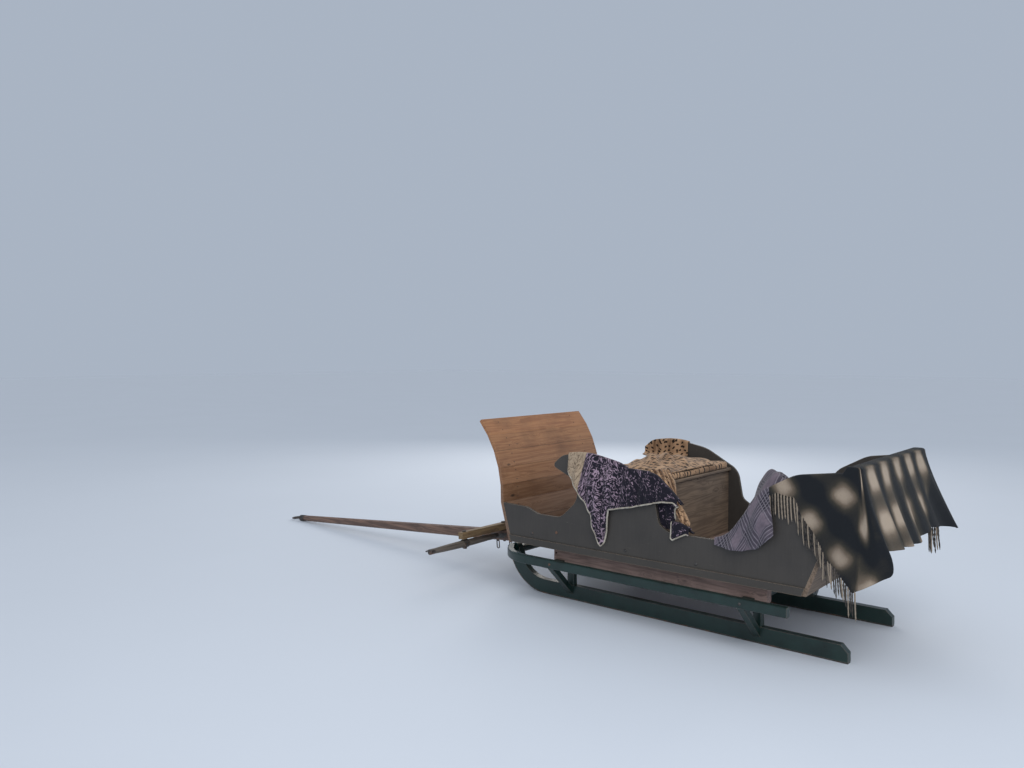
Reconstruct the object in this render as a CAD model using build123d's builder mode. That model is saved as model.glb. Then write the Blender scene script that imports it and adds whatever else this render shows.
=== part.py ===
# Two-bench horse-drawn sleigh on wooden runners, with a draught pole, an evener, two singletrees
# and its blankets. Millimetres, +X forward, +Y left, +Z up, the runner shoes standing on Z = 0.
# Stations along X are counted from the rear bottom corner of the body. At the end every piece is
# moved together, so that the origin lies on the ground under the middle of the whole sleigh.
import math
import os

from build123d import *

# Running gear
track_half = 398          # centre of a runner from the middle plane
runner_width = 46
runner_height = 90
runner_tail = -190        # rear end of the runners
sole_front = 1860         # where the sole leaves the ground
nose_radius = 320         # bend of the sole at the nose
nose_turn = 65            # degrees of that bend
nose_run = 110            # straight run past the bend
tail_bevel = 40
nose_rounding = 27
shoe_thickness = 8
shoe_width = 40

bent_stations = {"rear": 320, "front": 1640}
bolster_length_x = 70
bolster_height = 40
post_length_x = 54
post_width = 44
strut_thickness = 36
strut_length_x = 42
strut_foot = 40           # lower corner of a strut above the ground
strut_inset = 8           # head of a strut behind the rail's outer face
timber_bevel = 5

rail_half = 630           # centre of a guard rail from the middle plane
rail_width = 45
rail_height = 56
rail_rounding = 8
rail_bottom = 252         # also the underside of the bolsters
rail_tail = 55
rail_bend_start = 1850
rail_bend_radius = 300
rail_bend_turn = 55

bearer_inset = 87         # centre of a bearer inside the body's outer face
bearer_width = 62
bearer_rear = 215
bearer_front = 1692
bearer_notch = 20         # depth let down over the bolsters
bearer_bolt_radius = 7
bearer_bolt_inset = 17

# Body
body_half = 587           # outer face of the side panels
panel_thickness = 18
body_bottom = 370
floor_thickness = 22
floor_board_width = 140
board_gap = 2
sill_height = 45
sill_thickness = 9
back_top = (-262, 1035)   # top rear corner of a side panel
wing_top_run = 70         # level run of the panel under the back rail
wing_top_rounding = 60
rear_board_thickness = 22
back_rail_width = 64
back_rail_height = 38
back_rail_rounding = 16
back_rail_ahead = 8       # middle of the rail ahead of the middle of the board
end_rounding = 4
seat_board_thickness = 22

# Side panel's top edge, from the dash to the back rail: station, height, rounding
panel_edge = [
    (1880, 622, 120),     # front, below the dash
    (1790, 586, 160),     # step cut, front
    (1600, 586, 110),     # step cut, rear
    (1462, 712, 120),     # scroll, lower back
    (1470, 835, 70),      # scroll, upper back
    (1668, 925, 22),      # tip of the scroll
    (1580, 1000, 120),
    (1400, 1024, 500),    # top of the hump
    (1150, 975, 300),
    (905, 835, 120),      # rear shoulder of the hump
    (868, 640, 60),
    (800, 598, 80),       # entry dip, front
    (430, 598, 200),      # entry dip, rear
    (210, 905, 160),      # shoulder of the rear wing
    (30, 1005, 200),
]

# Dash: front face, a straight foot and an arc that flares forward above it
dash_foot = (2040, 360)
dash_knee = (2115, 626)
dash_middle = (2152, 905)
dash_top = (2315, 1180)
dash_thickness = 22
dash_foot_boards = 2
dash_arc_boards = 5
dash_gap = 0.4
cleat_thickness = 26
cleat_width = 60
cleat_half = 430

# Benches
rear_seat_top = 722
rear_seat_front = 335
driver_seat_top = 852
driver_seat_rear = 955
driver_seat_front = 1420
riser_thickness = 20
cushion_thickness = 62
cushion_side_gap = 8
cushion_back_gap = 3
cushion_corner = 40
cushion_rounding = 20
seat_rounding = 7
pad_thickness = 44
soft_gap = 0.4            # between a soft piece and what it lies on

# Blankets: side outlines of their outer flaps, well above the panels at the top
cloth_thickness = 11
print_outline = [
    (1528, 1100), (1528, 907), (1461, 805), (1396, 716), (1338, 627), (1332, 575), (1262, 453),
    (1219, 548), (1237, 640), (1219, 689), (1037, 726), (897, 764), (890, 1100),
]
print_inner_low = 905
plush_far_outline = [(1640, 1100), (1600, 940), (1440, 853), (1010, 853), (1180, 1100)]
robe_outline = [
    (430, 1100), (470, 640), (410, 588), (337, 568), (268, 592), (194, 673), (150, 760), (150, 893),
    (260, 893), (265, 1100),
]
robe_rear = 60
robe_front = 352
robe_fold = 26            # the robe's folded layers on the cushion
robe_fall = 560           # lower end of its fall in front of the bench
throw_outline = [
    (252, 1100), (248, 903), (135, 907), (35, 886), (17, 826), (-27, 765), (-114, 638),
    (-182, 553), (-224, 500), (-270, 440), (-370, 517), (-436, 568), (-446, 655), (-358, 890),
    (-300, 1040), (-300, 1100),
]
throw_hem = (-445, 655)   # rear hem, hanging clear of the leaning back
throw_inner_low = 830
throw_bend = 8            # start of the bends over the rail, below its crown
throw_turn = 40           # start of the inner fall's lean, below the rail's foot
plush_inset = 20
plush_ahead = 10
beyond = 4000             # longer than the body, for cuts

# Draught gear
nose_bar_diameter = 56
nose_bar_station = 2127
nose_bar_height = 262
hinge_station = 2262
hinge_height = 262
hinge_radius = 12
hinge_clearance = 0.05
side_clearance = 1
ear_radius = 30
ear_thickness = 10
ear_wall = 12             # metal round the nose bar
pin_head = 7
pin_head_wall = 7
pole_root_width = 78
pole_tip_width = 52
pole_rounding = 12
pole_tip_roundness = 0.46 # corner radius as a share of the tip's width
pole_square_run = 90      # square part past the irons
pole_cap_length = 60
tip_cap_wall = 3
tip_cap_end = 8
pole_length = 3000
pole_iron_thickness = 8
pole_iron_height = 54
pole_iron_length = 520
pole_start = 46           # wood begins this far ahead of the hinge
pole_collar_length = 34
pole_collar_side = 5
pole_collar_wall = 6
pole_collar_insets = (40, 70)
pole_tip_ring = 52        # middle radius of the yoke ring
ring_wire = 7
evener_station = 330      # along the pole from the hinge
evener_overhang = 40      # past the singletrees' bolts
evener_taper = 0.72       # width at the ends as a share of the middle's
evener_width = 62
evener_thickness = 50
evener_pin_radius = 11
pin_end = 12
pin_washer_wall = 16
pin_nut_wall = 9
pin_nut_height = 10
singletree_gap = 90       # inner end of a singletree from the middle plane
singletree_length = 720
singletree_diameter = 52
singletree_end = 34
link_clearance = 6        # between the evener and what it lies over and under
link_play = 0.3           # under a nut or washer
link_bolt_radius = 9
link_bolt_end = 6
link_washer_wall = 11
link_nut_wall = 7
link_nut_height = 7
link_wire = 4
link_end_radius = 12
link_straight = 42
staple_radius = 13
spare_link_runs = (268, 400)
collar_width = 46
collar_wall = 5
end_cap_length = 38
end_cap_wall = 3
end_cap_plate = 4
hook_radius = 17
hook_wire = 5
hook_turn = 250


def upright(y):
    """Plane along the sleigh at the distance y to the left of its middle."""
    return Plane.XZ.offset(-y)


def across(x):
    """Plane across the sleigh at the station x: local x runs left, local y up."""
    return Plane.YZ.offset(x)


def level(z):
    """Horizontal plane at the height z."""
    return Plane.XY.offset(z)


pieces = []


def keep(builder, name):
    """Label a finished piece and put it on the list that is written at the end."""
    builder.part.label = name
    pieces.append(builder.part)


sides = {"left": 1, "right": -1}
panel_inner = body_half - panel_thickness
bearer_half = body_half - bearer_inset
floor_top = body_bottom + floor_thickness
bolster_bottom = rail_bottom
bolster_top = bolster_bottom + bolster_height
runner_bottom = shoe_thickness
runner_top = runner_bottom + runner_height
back_lean = math.atan2(-back_top[0], back_top[1] - body_bottom)


def back_face(z):
    """Station of the side panel's sloping rear edge at the height z."""
    return -(z - body_bottom) * math.tan(back_lean)


def runner_outline(low, high):
    """Closed side outline of a band that follows the runner's sole, low to high above the ground."""
    turn = math.radians(nose_turn)
    centre = (sole_front, nose_radius)
    low_radius = nose_radius - low
    high_radius = nose_radius - high

    def bent(radius, angle, run=0.0):
        return (
            centre[0] + radius * math.sin(angle) + run * math.cos(angle),
            centre[1] - radius * math.cos(angle) + run * math.sin(angle),
        )

    with BuildLine() as outline:
        Line((runner_tail, low), (sole_front, low))
        ThreePointArc((sole_front, low), bent(low_radius, turn / 2), bent(low_radius, turn))
        Polyline(
            bent(low_radius, turn),
            bent(low_radius, turn, nose_run),
            bent(high_radius, turn, nose_run),
            bent(high_radius, turn),
        )
        ThreePointArc(bent(high_radius, turn), bent(high_radius, turn / 2), (sole_front, high))
        Polyline((sole_front, high), (runner_tail, high), (runner_tail, low))
    return outline.line


# Runners with their steel shoes
for side, sign in sides.items():
    with BuildPart() as runner:
        with BuildSketch(upright(sign * track_half)):
            add(runner_outline(runner_bottom, runner_top))
            make_face()
        extrude(amount=runner_width / 2, both=True)
        tail_edge = runner.edges().filter_by(Axis.Y).group_by(Axis.X)[0].sort_by(Axis.Z)[-1]
        chamfer(tail_edge, tail_bevel)
        nose_edge = runner.edges().filter_by(Axis.Y).group_by(Axis.Z)[-1]
        fillet(nose_edge, nose_rounding)
    keep(runner, f"runner_{side}")

    with BuildPart() as shoe:
        with BuildSketch(upright(sign * track_half)):
            add(runner_outline(0, shoe_thickness))
            make_face()
        extrude(amount=shoe_width / 2, both=True)
    keep(shoe, f"shoe_{side}")

# Guard rails: straight beside the body, bent in to the runners' noses
rail_inner = rail_half - rail_width / 2
nose_face = track_half + runner_width / 2
for side, sign in sides.items():
    turn = math.radians(rail_bend_turn)
    bend_end = (
        rail_bend_start + rail_bend_radius * math.sin(turn),
        rail_half - rail_bend_radius * (1 - math.cos(turn)),
    )
    rail_end = (
        bend_end[0] + rail_bend_radius * math.cos(turn),
        bend_end[1] - rail_bend_radius * math.sin(turn),
    )
    bend_middle = (
        rail_bend_start + rail_bend_radius * math.sin(turn / 2),
        rail_half - rail_bend_radius * (1 - math.cos(turn / 2)),
    )
    with BuildPart() as rail:
        with BuildLine(level(rail_bottom + rail_height / 2)) as rail_path:
            Line((rail_tail, sign * rail_half), (rail_bend_start, sign * rail_half))
            ThreePointArc(
                (rail_bend_start, sign * rail_half),
                (bend_middle[0], sign * bend_middle[1]),
                (bend_end[0], sign * bend_end[1]),
            )
            Line((bend_end[0], sign * bend_end[1]), (rail_end[0], sign * rail_end[1]))
        with BuildSketch(across(rail_tail)):
            with Locations((sign * rail_half, rail_bottom + rail_height / 2)):
                RectangleRounded(rail_width, rail_height, rail_rounding)
        sweep(path=rail_path.line)
        cut_plane = Plane(origin=(0, sign * nose_face, 0), x_dir=(1, 0, 0), z_dir=(0, sign, 0))
        split(bisect_by=cut_plane, keep=Keep.TOP)
    keep(rail, f"rail_{side}")

# Bents: a bolster across the runners, a post on each runner and a raking strut out to each rail
for name, station in bent_stations.items():
    with BuildPart() as bolster:
        with BuildSketch(level(bolster_bottom)):
            with Locations((station, 0)):
                Rectangle(bolster_length_x, 2 * rail_inner)
        extrude(amount=bolster_height)
        chamfer(bolster.edges().filter_by(Axis.Y), timber_bevel)
    keep(bolster, f"bolster_{name}")

    for side, sign in sides.items():
        with BuildPart() as post:
            with BuildSketch(level(runner_top)):
                with Locations((station, sign * track_half)):
                    Rectangle(post_length_x, post_width)
            extrude(amount=bolster_bottom - runner_top)
            chamfer(post.edges().filter_by(Axis.Z), timber_bevel)
        keep(post, f"post_{name}_{side}")

        rise = rail_bottom - strut_foot
        reach = rail_half + rail_width / 2 - strut_inset - nose_face
        rake = math.atan2(rise, reach)
        with BuildPart() as strut:
            with BuildSketch(across(station)):
                with BuildLine():
                    Polyline(
                        (sign * nose_face, strut_foot),
                        (sign * (nose_face + reach), rail_bottom),
                        (sign * (nose_face + reach - strut_thickness / math.sin(rake)), rail_bottom),
                        (sign * nose_face, strut_foot + strut_thickness / math.cos(rake)),
                        close=True,
                    )
                make_face()
            extrude(amount=strut_length_x / 2, both=True)
        keep(strut, f"strut_{name}_{side}")

# Bare wooden bearers that carry the body, notched over the bolsters
bearer_bottom = bolster_top - bearer_notch
for side, sign in sides.items():
    with BuildPart() as bearer:
        with BuildSketch(level(bearer_bottom)):
            with Locations(((bearer_rear + bearer_front) / 2, sign * bearer_half)):
                Rectangle(bearer_front - bearer_rear, bearer_width)
        extrude(amount=body_bottom - bearer_bottom)
        chamfer(bearer.edges().filter_by(Axis.X), timber_bevel)
        with BuildSketch(upright(sign * bearer_half)):
            with Locations((bearer_front - bearer_bolt_inset, (bolster_top + body_bottom) / 2)):
                Circle(bearer_bolt_radius)
            with Locations(*[(station, bolster_top) for station in bent_stations.values()]):
                Rectangle(bolster_length_x, 2 * bearer_notch, align=(Align.CENTER, Align.MAX))
        extrude(amount=bearer_width, both=True, mode=Mode.SUBTRACT)
    keep(bearer, f"bearer_{side}")

# Dash: straight boards at the foot, boards set round an arc above, each mitred to the next
with BuildLine() as dash_face:
    foot_line = Line(dash_foot, dash_knee)
    flare = ThreePointArc(dash_knee, dash_middle, dash_top)
dash_points = [foot_line @ (i / dash_foot_boards) for i in range(dash_foot_boards)]
dash_points += [flare @ (i / dash_arc_boards) for i in range(dash_arc_boards + 1)]


def face_offset(points, distance):
    """The same run of points moved behind (+) or ahead of (-) the dash's front face, mitred."""
    moved = []
    for i, point in enumerate(points):
        before = (point - points[i - 1]).normalized() if i else (points[1] - point).normalized()
        after = (points[i + 1] - point).normalized() if i + 1 < len(points) else before
        along = (before + after).normalized()
        stretch = distance / along.dot(after)
        moved.append(point + Vector(-along.Y, along.X) * stretch)
    return moved


dash_back = face_offset(dash_points, dash_thickness)
with BuildPart() as dash:
    for low, high, low_back, high_back in zip(dash_points, dash_points[1:], dash_back, dash_back[1:]):
        up = (high - low).normalized() * (dash_gap / 2)
        with BuildSketch(Plane.XZ):
            Polygon(low + up, high - up, high_back - up, low_back + up, align=None)
        extrude(amount=body_half, both=True)
keep(dash, "dash")

with BuildPart() as dash_cleats:
    cleat_line = dash_points[1:]
    cleat_front = face_offset(cleat_line, -cleat_thickness)
    for sign in (1, -1):
        with BuildSketch(upright(sign * cleat_half)):
            Polygon(*cleat_line, *reversed(cleat_front), align=None)
        extrude(amount=cleat_width / 2, both=True)
keep(dash_cleats, "dash_cleats")

# Side panels: scroll, hump, entry dip and wing, all on one outline
foot_slope = (dash_knee[0] - dash_foot[0]) / (dash_knee[1] - dash_foot[1])
panel_foot = (dash_back[0].X + (body_bottom - dash_back[0].Y) * foot_slope, body_bottom)
panel_knee = (dash_back[dash_foot_boards].X, dash_back[dash_foot_boards].Y)
panel_corners = [(0, body_bottom, 0), (*panel_foot, 0), (*panel_knee, 0), *panel_edge]
panel_corners += [(back_top[0] + wing_top_run, back_top[1], wing_top_rounding), (*back_top, 0)]


def panel_outline():
    """Side outline of a panel, closed, with each corner rounded as its list says."""
    with BuildLine() as outline:
        FilletPolyline(
            *[(x, z) for x, z, _ in panel_corners],
            radius=[rounding for _, _, rounding in panel_corners],
            close=True,
        )
    return outline.line


for side, sign in sides.items():
    with BuildPart() as panel:
        with BuildSketch(upright(sign * (body_half - panel_thickness / 2))):
            add(panel_outline())
            make_face()
        extrude(amount=panel_thickness / 2, both=True)
    keep(panel, f"side_panel_{side}")

    with BuildPart() as sill:
        with BuildSketch(upright(sign * (body_half + sill_thickness / 2))):
            Polygon(
                (0, body_bottom),
                panel_foot,
                (panel_foot[0] + sill_height * foot_slope, body_bottom + sill_height),
                (back_face(body_bottom + sill_height), body_bottom + sill_height),
                align=None,
            )
        extrude(amount=sill_thickness / 2, both=True)
    keep(sill, f"sill_{side}")

# Floor boards across the bearers
with BuildPart() as floor:
    floor_length = panel_foot[0]
    board_count = round(floor_length / floor_board_width)
    pitch = floor_length / board_count
    with BuildSketch(level(body_bottom)):
        for i in range(board_count):
            with Locations(((i + 0.5) * pitch, 0)):
                Rectangle(pitch - board_gap, 2 * panel_inner)
    extrude(amount=floor_thickness)
keep(floor, "floor_boards")

# Leaning back board and the rail that caps it
with BuildPart() as rear_board:
    lean_across = rear_board_thickness / math.cos(back_lean)
    with BuildSketch(Plane.XZ):
        Polygon(
            (0, body_bottom),
            back_top,
            (back_top[0] - lean_across, back_top[1]),
            (-lean_across, body_bottom),
            align=None,
        )
    extrude(amount=body_half, both=True)
keep(rear_board, "rear_board")

rail_centre = back_top[0] - lean_across / 2 + back_rail_ahead
rail_foot = back_top[1]
with BuildPart() as back_rail:
    with BuildSketch(Plane.XZ):
        with Locations((rail_centre, rail_foot)):
            Rectangle(back_rail_width, back_rail_height, align=(Align.CENTER, Align.MIN))
    extrude(amount=body_half, both=True)
    fillet(back_rail.edges().filter_by(Axis.Y).group_by(Axis.Z)[-1], back_rail_rounding)
    fillet(back_rail.faces().filter_by(Axis.Y).edges().group_by(Axis.Z)[-1], end_rounding)
keep(back_rail, "back_rail")

# Rear bench
seat_under = rear_seat_top - seat_board_thickness
with BuildPart() as rear_seat:
    with BuildSketch(Plane.XZ):
        Polygon(
            (back_face(seat_under), seat_under),
            (back_face(rear_seat_top), rear_seat_top),
            (rear_seat_front, rear_seat_top),
            (rear_seat_front, seat_under),
            align=None,
        )
    extrude(amount=panel_inner, both=True)
keep(rear_seat, "rear_seat")

with BuildPart() as rear_riser:
    with BuildSketch(level(floor_top)):
        with Locations((rear_seat_front - 1.5 * riser_thickness, 0)):
            Rectangle(riser_thickness, 2 * panel_inner)
    extrude(amount=seat_under - floor_top)
keep(rear_riser, "rear_seat_riser")

with BuildPart() as cushion:
    cushion_rear = back_face(rear_seat_top) + cushion_back_gap
    with BuildSketch(level(rear_seat_top + soft_gap)):
        with Locations(((cushion_rear + rear_seat_front) / 2, 0)):
            RectangleRounded(
                rear_seat_front - cushion_rear, 2 * (panel_inner - cushion_side_gap), cushion_corner
            )
    extrude(amount=cushion_thickness)
    fillet(cushion.faces().sort_by(Axis.Z)[-1].edges(), cushion_rounding)
keep(cushion, "rear_cushion")
cushion_crown = rear_seat_top + 2 * soft_gap + cushion_thickness

# Driver's bench: a board on two risers, between the humps
driver_under = driver_seat_top - seat_board_thickness
with BuildPart() as driver_seat:
    with BuildSketch(level(driver_under)):
        with Locations(((driver_seat_rear + driver_seat_front) / 2, 0)):
            Rectangle(driver_seat_front - driver_seat_rear, 2 * panel_inner)
    extrude(amount=seat_board_thickness)
    fillet(driver_seat.edges().filter_by(Axis.Y), seat_rounding)
keep(driver_seat, "driver_seat")

for name, station in {
    "front": driver_seat_front - 1.5 * riser_thickness,
    "rear": driver_seat_rear + 1.5 * riser_thickness,
}.items():
    with BuildPart() as riser:
        with BuildSketch(level(floor_top)):
            with Locations((station, 0)):
                Rectangle(riser_thickness, 2 * panel_inner)
        extrude(amount=driver_under - floor_top)
    keep(riser, f"driver_riser_{name}")

# Blankets. Each hangs over a side panel as a saddle: an outer flap with its own outline, a cap
# along the panel's top edge and an inner flap that ends at the height given for it.
rail_crown = rail_foot + back_rail_height
rail_behind = rail_centre - back_rail_width / 2
rail_ahead = rail_centre + back_rail_width / 2
cloth_inner = panel_inner - soft_gap
cloth_outer = body_half + soft_gap


def panel_grown(margin):
    """The panel's side outline as a face, grown by a margin all round."""
    with BuildSketch() as grown:
        add(panel_outline())
        make_face()
        offset(amount=margin, kind=Kind.ARC)
    return grown.sketch


def between(sign, near, far):
    """Sketch plane and depth of a slab that runs from near to far on one side of the sleigh."""
    return upright(sign * near if sign < 0 else far), far - near


def saddle(sign, outline, inner_low, thickness):
    """Add a blanket's saddle over one panel to the open part."""
    plane, depth = between(sign, cloth_inner - thickness, cloth_outer + thickness)
    with BuildSketch(plane) as flaps:
        Polygon(*outline, align=None)
        add(panel_grown(thickness), mode=Mode.INTERSECT)
    extrude(flaps.sketch, amount=depth)
    plane, depth = between(sign, cloth_inner, cloth_outer)
    with BuildSketch(plane) as board_space:
        add(panel_grown(soft_gap))
    extrude(board_space.sketch, amount=depth, mode=Mode.SUBTRACT)
    plane, depth = between(sign, cloth_inner - thickness - 1, cloth_inner)
    with BuildSketch(plane) as below_inner:
        with Locations((driver_seat_rear, inner_low)):
            Rectangle(beyond, beyond, align=(Align.CENTER, Align.MAX))
    extrude(below_inner.sketch, amount=depth, mode=Mode.SUBTRACT)


with BuildPart() as print_fleece:
    saddle(1, print_outline, print_inner_low, cloth_thickness)
keep(print_fleece, "print_fleece")

with BuildPart() as leopard_plush:
    saddle(-1, plush_far_outline, driver_seat_top + soft_gap, cloth_thickness)
    with BuildSketch(level(driver_seat_top + soft_gap)):
        with Locations(((driver_seat_rear + driver_seat_front) / 2 + plush_ahead, 0)):
            Rectangle(driver_seat_front - driver_seat_rear - 2 * plush_inset, 2 * cloth_inner)
    extrude(amount=pad_thickness)
keep(leopard_plush, "leopard_plush")

with BuildPart() as lap_robe:
    saddle(1, robe_outline, cushion_crown, cloth_thickness)
    with BuildSketch(level(cushion_crown)):
        with Locations(((robe_rear + robe_front) / 2, 0)):
            Rectangle(robe_front - robe_rear, 2 * cloth_inner)
    extrude(amount=robe_fold)
    with BuildSketch(level(robe_fall)):
        with Locations((robe_front, 0)):
            Rectangle(cloth_thickness, 2 * cloth_inner, align=(Align.MAX, Align.CENTER))
    extrude(amount=cushion_crown - robe_fall)
keep(lap_robe, "lap_robe")

with BuildPart() as plaid_throw:
    with BuildSketch(upright(cloth_outer + cloth_thickness)):
        Polygon(
            throw_hem,
            (throw_hem[0] - cloth_thickness, throw_hem[1]),
            (rail_behind - cloth_thickness, rail_crown - throw_bend),
            (rail_behind, rail_crown + cloth_thickness),
            (rail_ahead, rail_crown + cloth_thickness),
            (rail_ahead + cloth_thickness, rail_crown - throw_bend),
            (rail_ahead + cloth_thickness, rail_foot - throw_turn),
            (back_face(throw_inner_low) + cloth_thickness, throw_inner_low),
            (back_face(throw_inner_low) + soft_gap, throw_inner_low),
            (rail_ahead + soft_gap, rail_foot - throw_turn),
            (rail_ahead + soft_gap, rail_crown + soft_gap),
            (rail_behind - soft_gap, rail_crown + soft_gap),
            (rail_behind - soft_gap, rail_foot - throw_bend),
            align=None,
        )
    extrude(amount=cloth_outer + cloth_thickness + body_half)
    with BuildSketch(upright(-cloth_inner)):
        add(panel_grown(soft_gap))
    extrude(amount=panel_thickness + 2 * soft_gap, mode=Mode.SUBTRACT)
    saddle(1, throw_outline, throw_inner_low, cloth_thickness)
    with BuildSketch(upright(cloth_outer + cloth_thickness)):
        Polygon(*throw_outline, align=None)
        Polygon(
            (0, body_bottom),
            back_top,
            (rail_behind, rail_crown),
            (throw_hem[0], rail_crown),
            (throw_hem[0], body_bottom),
            align=None,
            mode=Mode.INTERSECT,
        )
    extrude(amount=cloth_thickness)
    with BuildSketch(upright(cloth_outer)):
        Polygon(
            (soft_gap, body_bottom),
            (back_top[0] + soft_gap, back_top[1]),
            (back_top[0] - lean_across - soft_gap, back_top[1]),
            (-lean_across - soft_gap, body_bottom),
            align=None,
        )
        with Locations((rail_centre, rail_foot)):
            Rectangle(
                rail_ahead - rail_behind + 2 * soft_gap,
                rail_crown - rail_foot + soft_gap,
                align=(Align.CENTER, Align.MIN),
            )
    extrude(amount=2 * cloth_outer, mode=Mode.SUBTRACT)
keep(plaid_throw, "plaid_throw")

# Bar between the runners' noses, with the forged clips that carry the pole's hinge pin
with BuildPart() as nose_bar:
    with BuildSketch(Plane.XZ):
        with Locations((nose_bar_station, nose_bar_height)):
            Circle(nose_bar_diameter / 2)
    extrude(amount=track_half - runner_width / 2, both=True)
keep(nose_bar, "nose_bar")

iron_outer = pole_root_width / 2 + pole_iron_thickness
ear_inner = iron_outer + side_clearance
with BuildPart() as pole_clips:
    for sign in (1, -1):
        with BuildSketch(upright(sign * (ear_inner + ear_thickness / 2))):
            with Locations((nose_bar_station, nose_bar_height)):
                Circle(nose_bar_diameter / 2 + ear_wall)
            with Locations((hinge_station, hinge_height)):
                Circle(ear_radius)
            make_hull()
            with Locations((nose_bar_station, nose_bar_height)):
                Circle(nose_bar_diameter / 2 + hinge_clearance, mode=Mode.SUBTRACT)
            with Locations((hinge_station, hinge_height)):
                Circle(hinge_radius + hinge_clearance, mode=Mode.SUBTRACT)
        extrude(amount=ear_thickness / 2, both=True)
keep(pole_clips, "pole_clips")

with BuildPart() as hinge_pin:
    pin_half = ear_inner + ear_thickness
    with BuildSketch(Plane.XZ):
        with Locations((hinge_station, hinge_height)):
            Circle(hinge_radius)
    extrude(amount=pin_half, both=True)
    for sign in (1, -1):
        with BuildSketch(upright(sign * (pin_half + pin_head / 2))):
            with Locations((hinge_station, hinge_height)):
                RegularPolygon(hinge_radius + pin_head_wall, 6)
        extrude(amount=pin_head / 2, both=True)
keep(hinge_pin, "hinge_pin")

# The pole lies with its tip on the ground: its slope follows from the hinge's height
tip_cap_radius = pole_tip_width / 2 + tip_cap_wall
pole_slope = math.asin(hinge_height / math.hypot(pole_length, tip_cap_radius))
pole_slope -= math.atan2(tip_cap_radius, pole_length)
pole_axis = Vector(math.cos(pole_slope), 0, -math.sin(pole_slope))
pole_up = Vector(math.sin(pole_slope), 0, math.cos(pole_slope))
pole_hinge = Vector(hinge_station, 0, hinge_height)


def pole_section(run):
    """Plane square to the pole, at the distance run from its hinge: local x left, local y up."""
    return Plane(origin=pole_hinge + pole_axis * run, x_dir=(0, 1, 0), z_dir=pole_axis)


def pole_side(y):
    """Plane along the pole's side, y to the left: local x ahead from the hinge, local y up."""
    return Plane(origin=pole_hinge + Vector(0, y, 0), x_dir=pole_axis, z_dir=(0, -1, 0))


def pole_level(height):
    """Plane along the pole, height above its middle: local x ahead from the hinge, local y left."""
    return Plane(origin=pole_hinge + pole_up * height, x_dir=pole_axis, z_dir=pole_up)


pole_square_end = pole_iron_length + pole_square_run
with BuildPart() as pole:
    for run in (pole_start, pole_square_end):
        with BuildSketch(pole_section(run)):
            RectangleRounded(pole_root_width, pole_root_width, pole_rounding)
    loft(ruled=True)
    with BuildSketch(pole_section(pole_square_end)):
        RectangleRounded(pole_root_width, pole_root_width, pole_rounding)
    with BuildSketch(pole_section(pole_length)):
        RectangleRounded(pole_tip_width, pole_tip_width, pole_tip_width * pole_tip_roundness)
    loft(ruled=True)
    with BuildSketch(pole_level(0)):
        with Locations((evener_station, 0)):
            Circle(evener_pin_radius + hinge_clearance)
    extrude(amount=pole_root_width, both=True, mode=Mode.SUBTRACT)
keep(pole, "pole")

with BuildPart() as pole_irons:
    for sign in (1, -1):
        with BuildSketch(pole_side(sign * (pole_root_width + pole_iron_thickness) / 2)):
            Circle(pole_iron_height / 2)
            with Locations((pole_iron_length, 0)):
                Circle(pole_iron_height / 4)
            make_hull()
            Circle(hinge_radius + hinge_clearance, mode=Mode.SUBTRACT)
        extrude(amount=pole_iron_thickness / 2, both=True)
    for run in (pole_start + pole_collar_insets[0], pole_iron_length - pole_collar_insets[1]):
        with BuildSketch(pole_section(run)):
            Rectangle(2 * (iron_outer + pole_collar_side), pole_root_width + 2 * pole_collar_wall)
            Rectangle(pole_root_width, pole_root_width, mode=Mode.SUBTRACT)
        extrude(amount=pole_collar_length)
keep(pole_irons, "pole_irons")

with BuildPart() as pole_tip:
    with BuildSketch(pole_section(pole_length - pole_cap_length)):
        Circle(tip_cap_radius)
    extrude(amount=pole_cap_length + tip_cap_end)
    with BuildSketch(pole_section(pole_length - pole_cap_length)):
        cap_bore = pole_tip_width + 2
        RectangleRounded(cap_bore, cap_bore, cap_bore * pole_tip_roundness)
    extrude(amount=pole_cap_length, mode=Mode.SUBTRACT)
    ring_centre = pole_length + tip_cap_end + pole_tip_ring + ring_wire / 2
    with BuildSketch(pole_side(0)):
        with Locations((ring_centre + pole_tip_ring, 0)):
            Circle(ring_wire)
    ring_axis = Axis(pole_level(0).from_local_coords((ring_centre, 0, 0)), pole_up)
    revolve(axis=ring_axis, revolution_arc=360)
keep(pole_tip, "pole_tip")

# Evener on top of the pole, free to turn on its pin
singletree_half = singletree_gap + singletree_length / 2
evener_length = 2 * (singletree_half + evener_overhang)
evener_bottom = pole_root_width / 2 + link_clearance + link_play
evener_top = evener_bottom + evener_thickness
with BuildPart() as evener_pin:
    with BuildSketch(pole_level(-pole_root_width / 2 - pin_end)):
        with Locations((evener_station, 0)):
            Circle(evener_pin_radius)
    extrude(amount=pole_root_width / 2 + pin_end + evener_top + pin_nut_height)
    with BuildSketch(pole_level(pole_root_width / 2)):
        with Locations((evener_station, 0)):
            Circle(evener_pin_radius + pin_washer_wall)
    extrude(amount=link_clearance)
    with BuildSketch(pole_level(evener_top + link_play)):
        with Locations((evener_station, 0)):
            RegularPolygon(evener_pin_radius + pin_nut_wall, 6)
    extrude(amount=pin_nut_height)
keep(evener_pin, "evener_pin")

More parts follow.
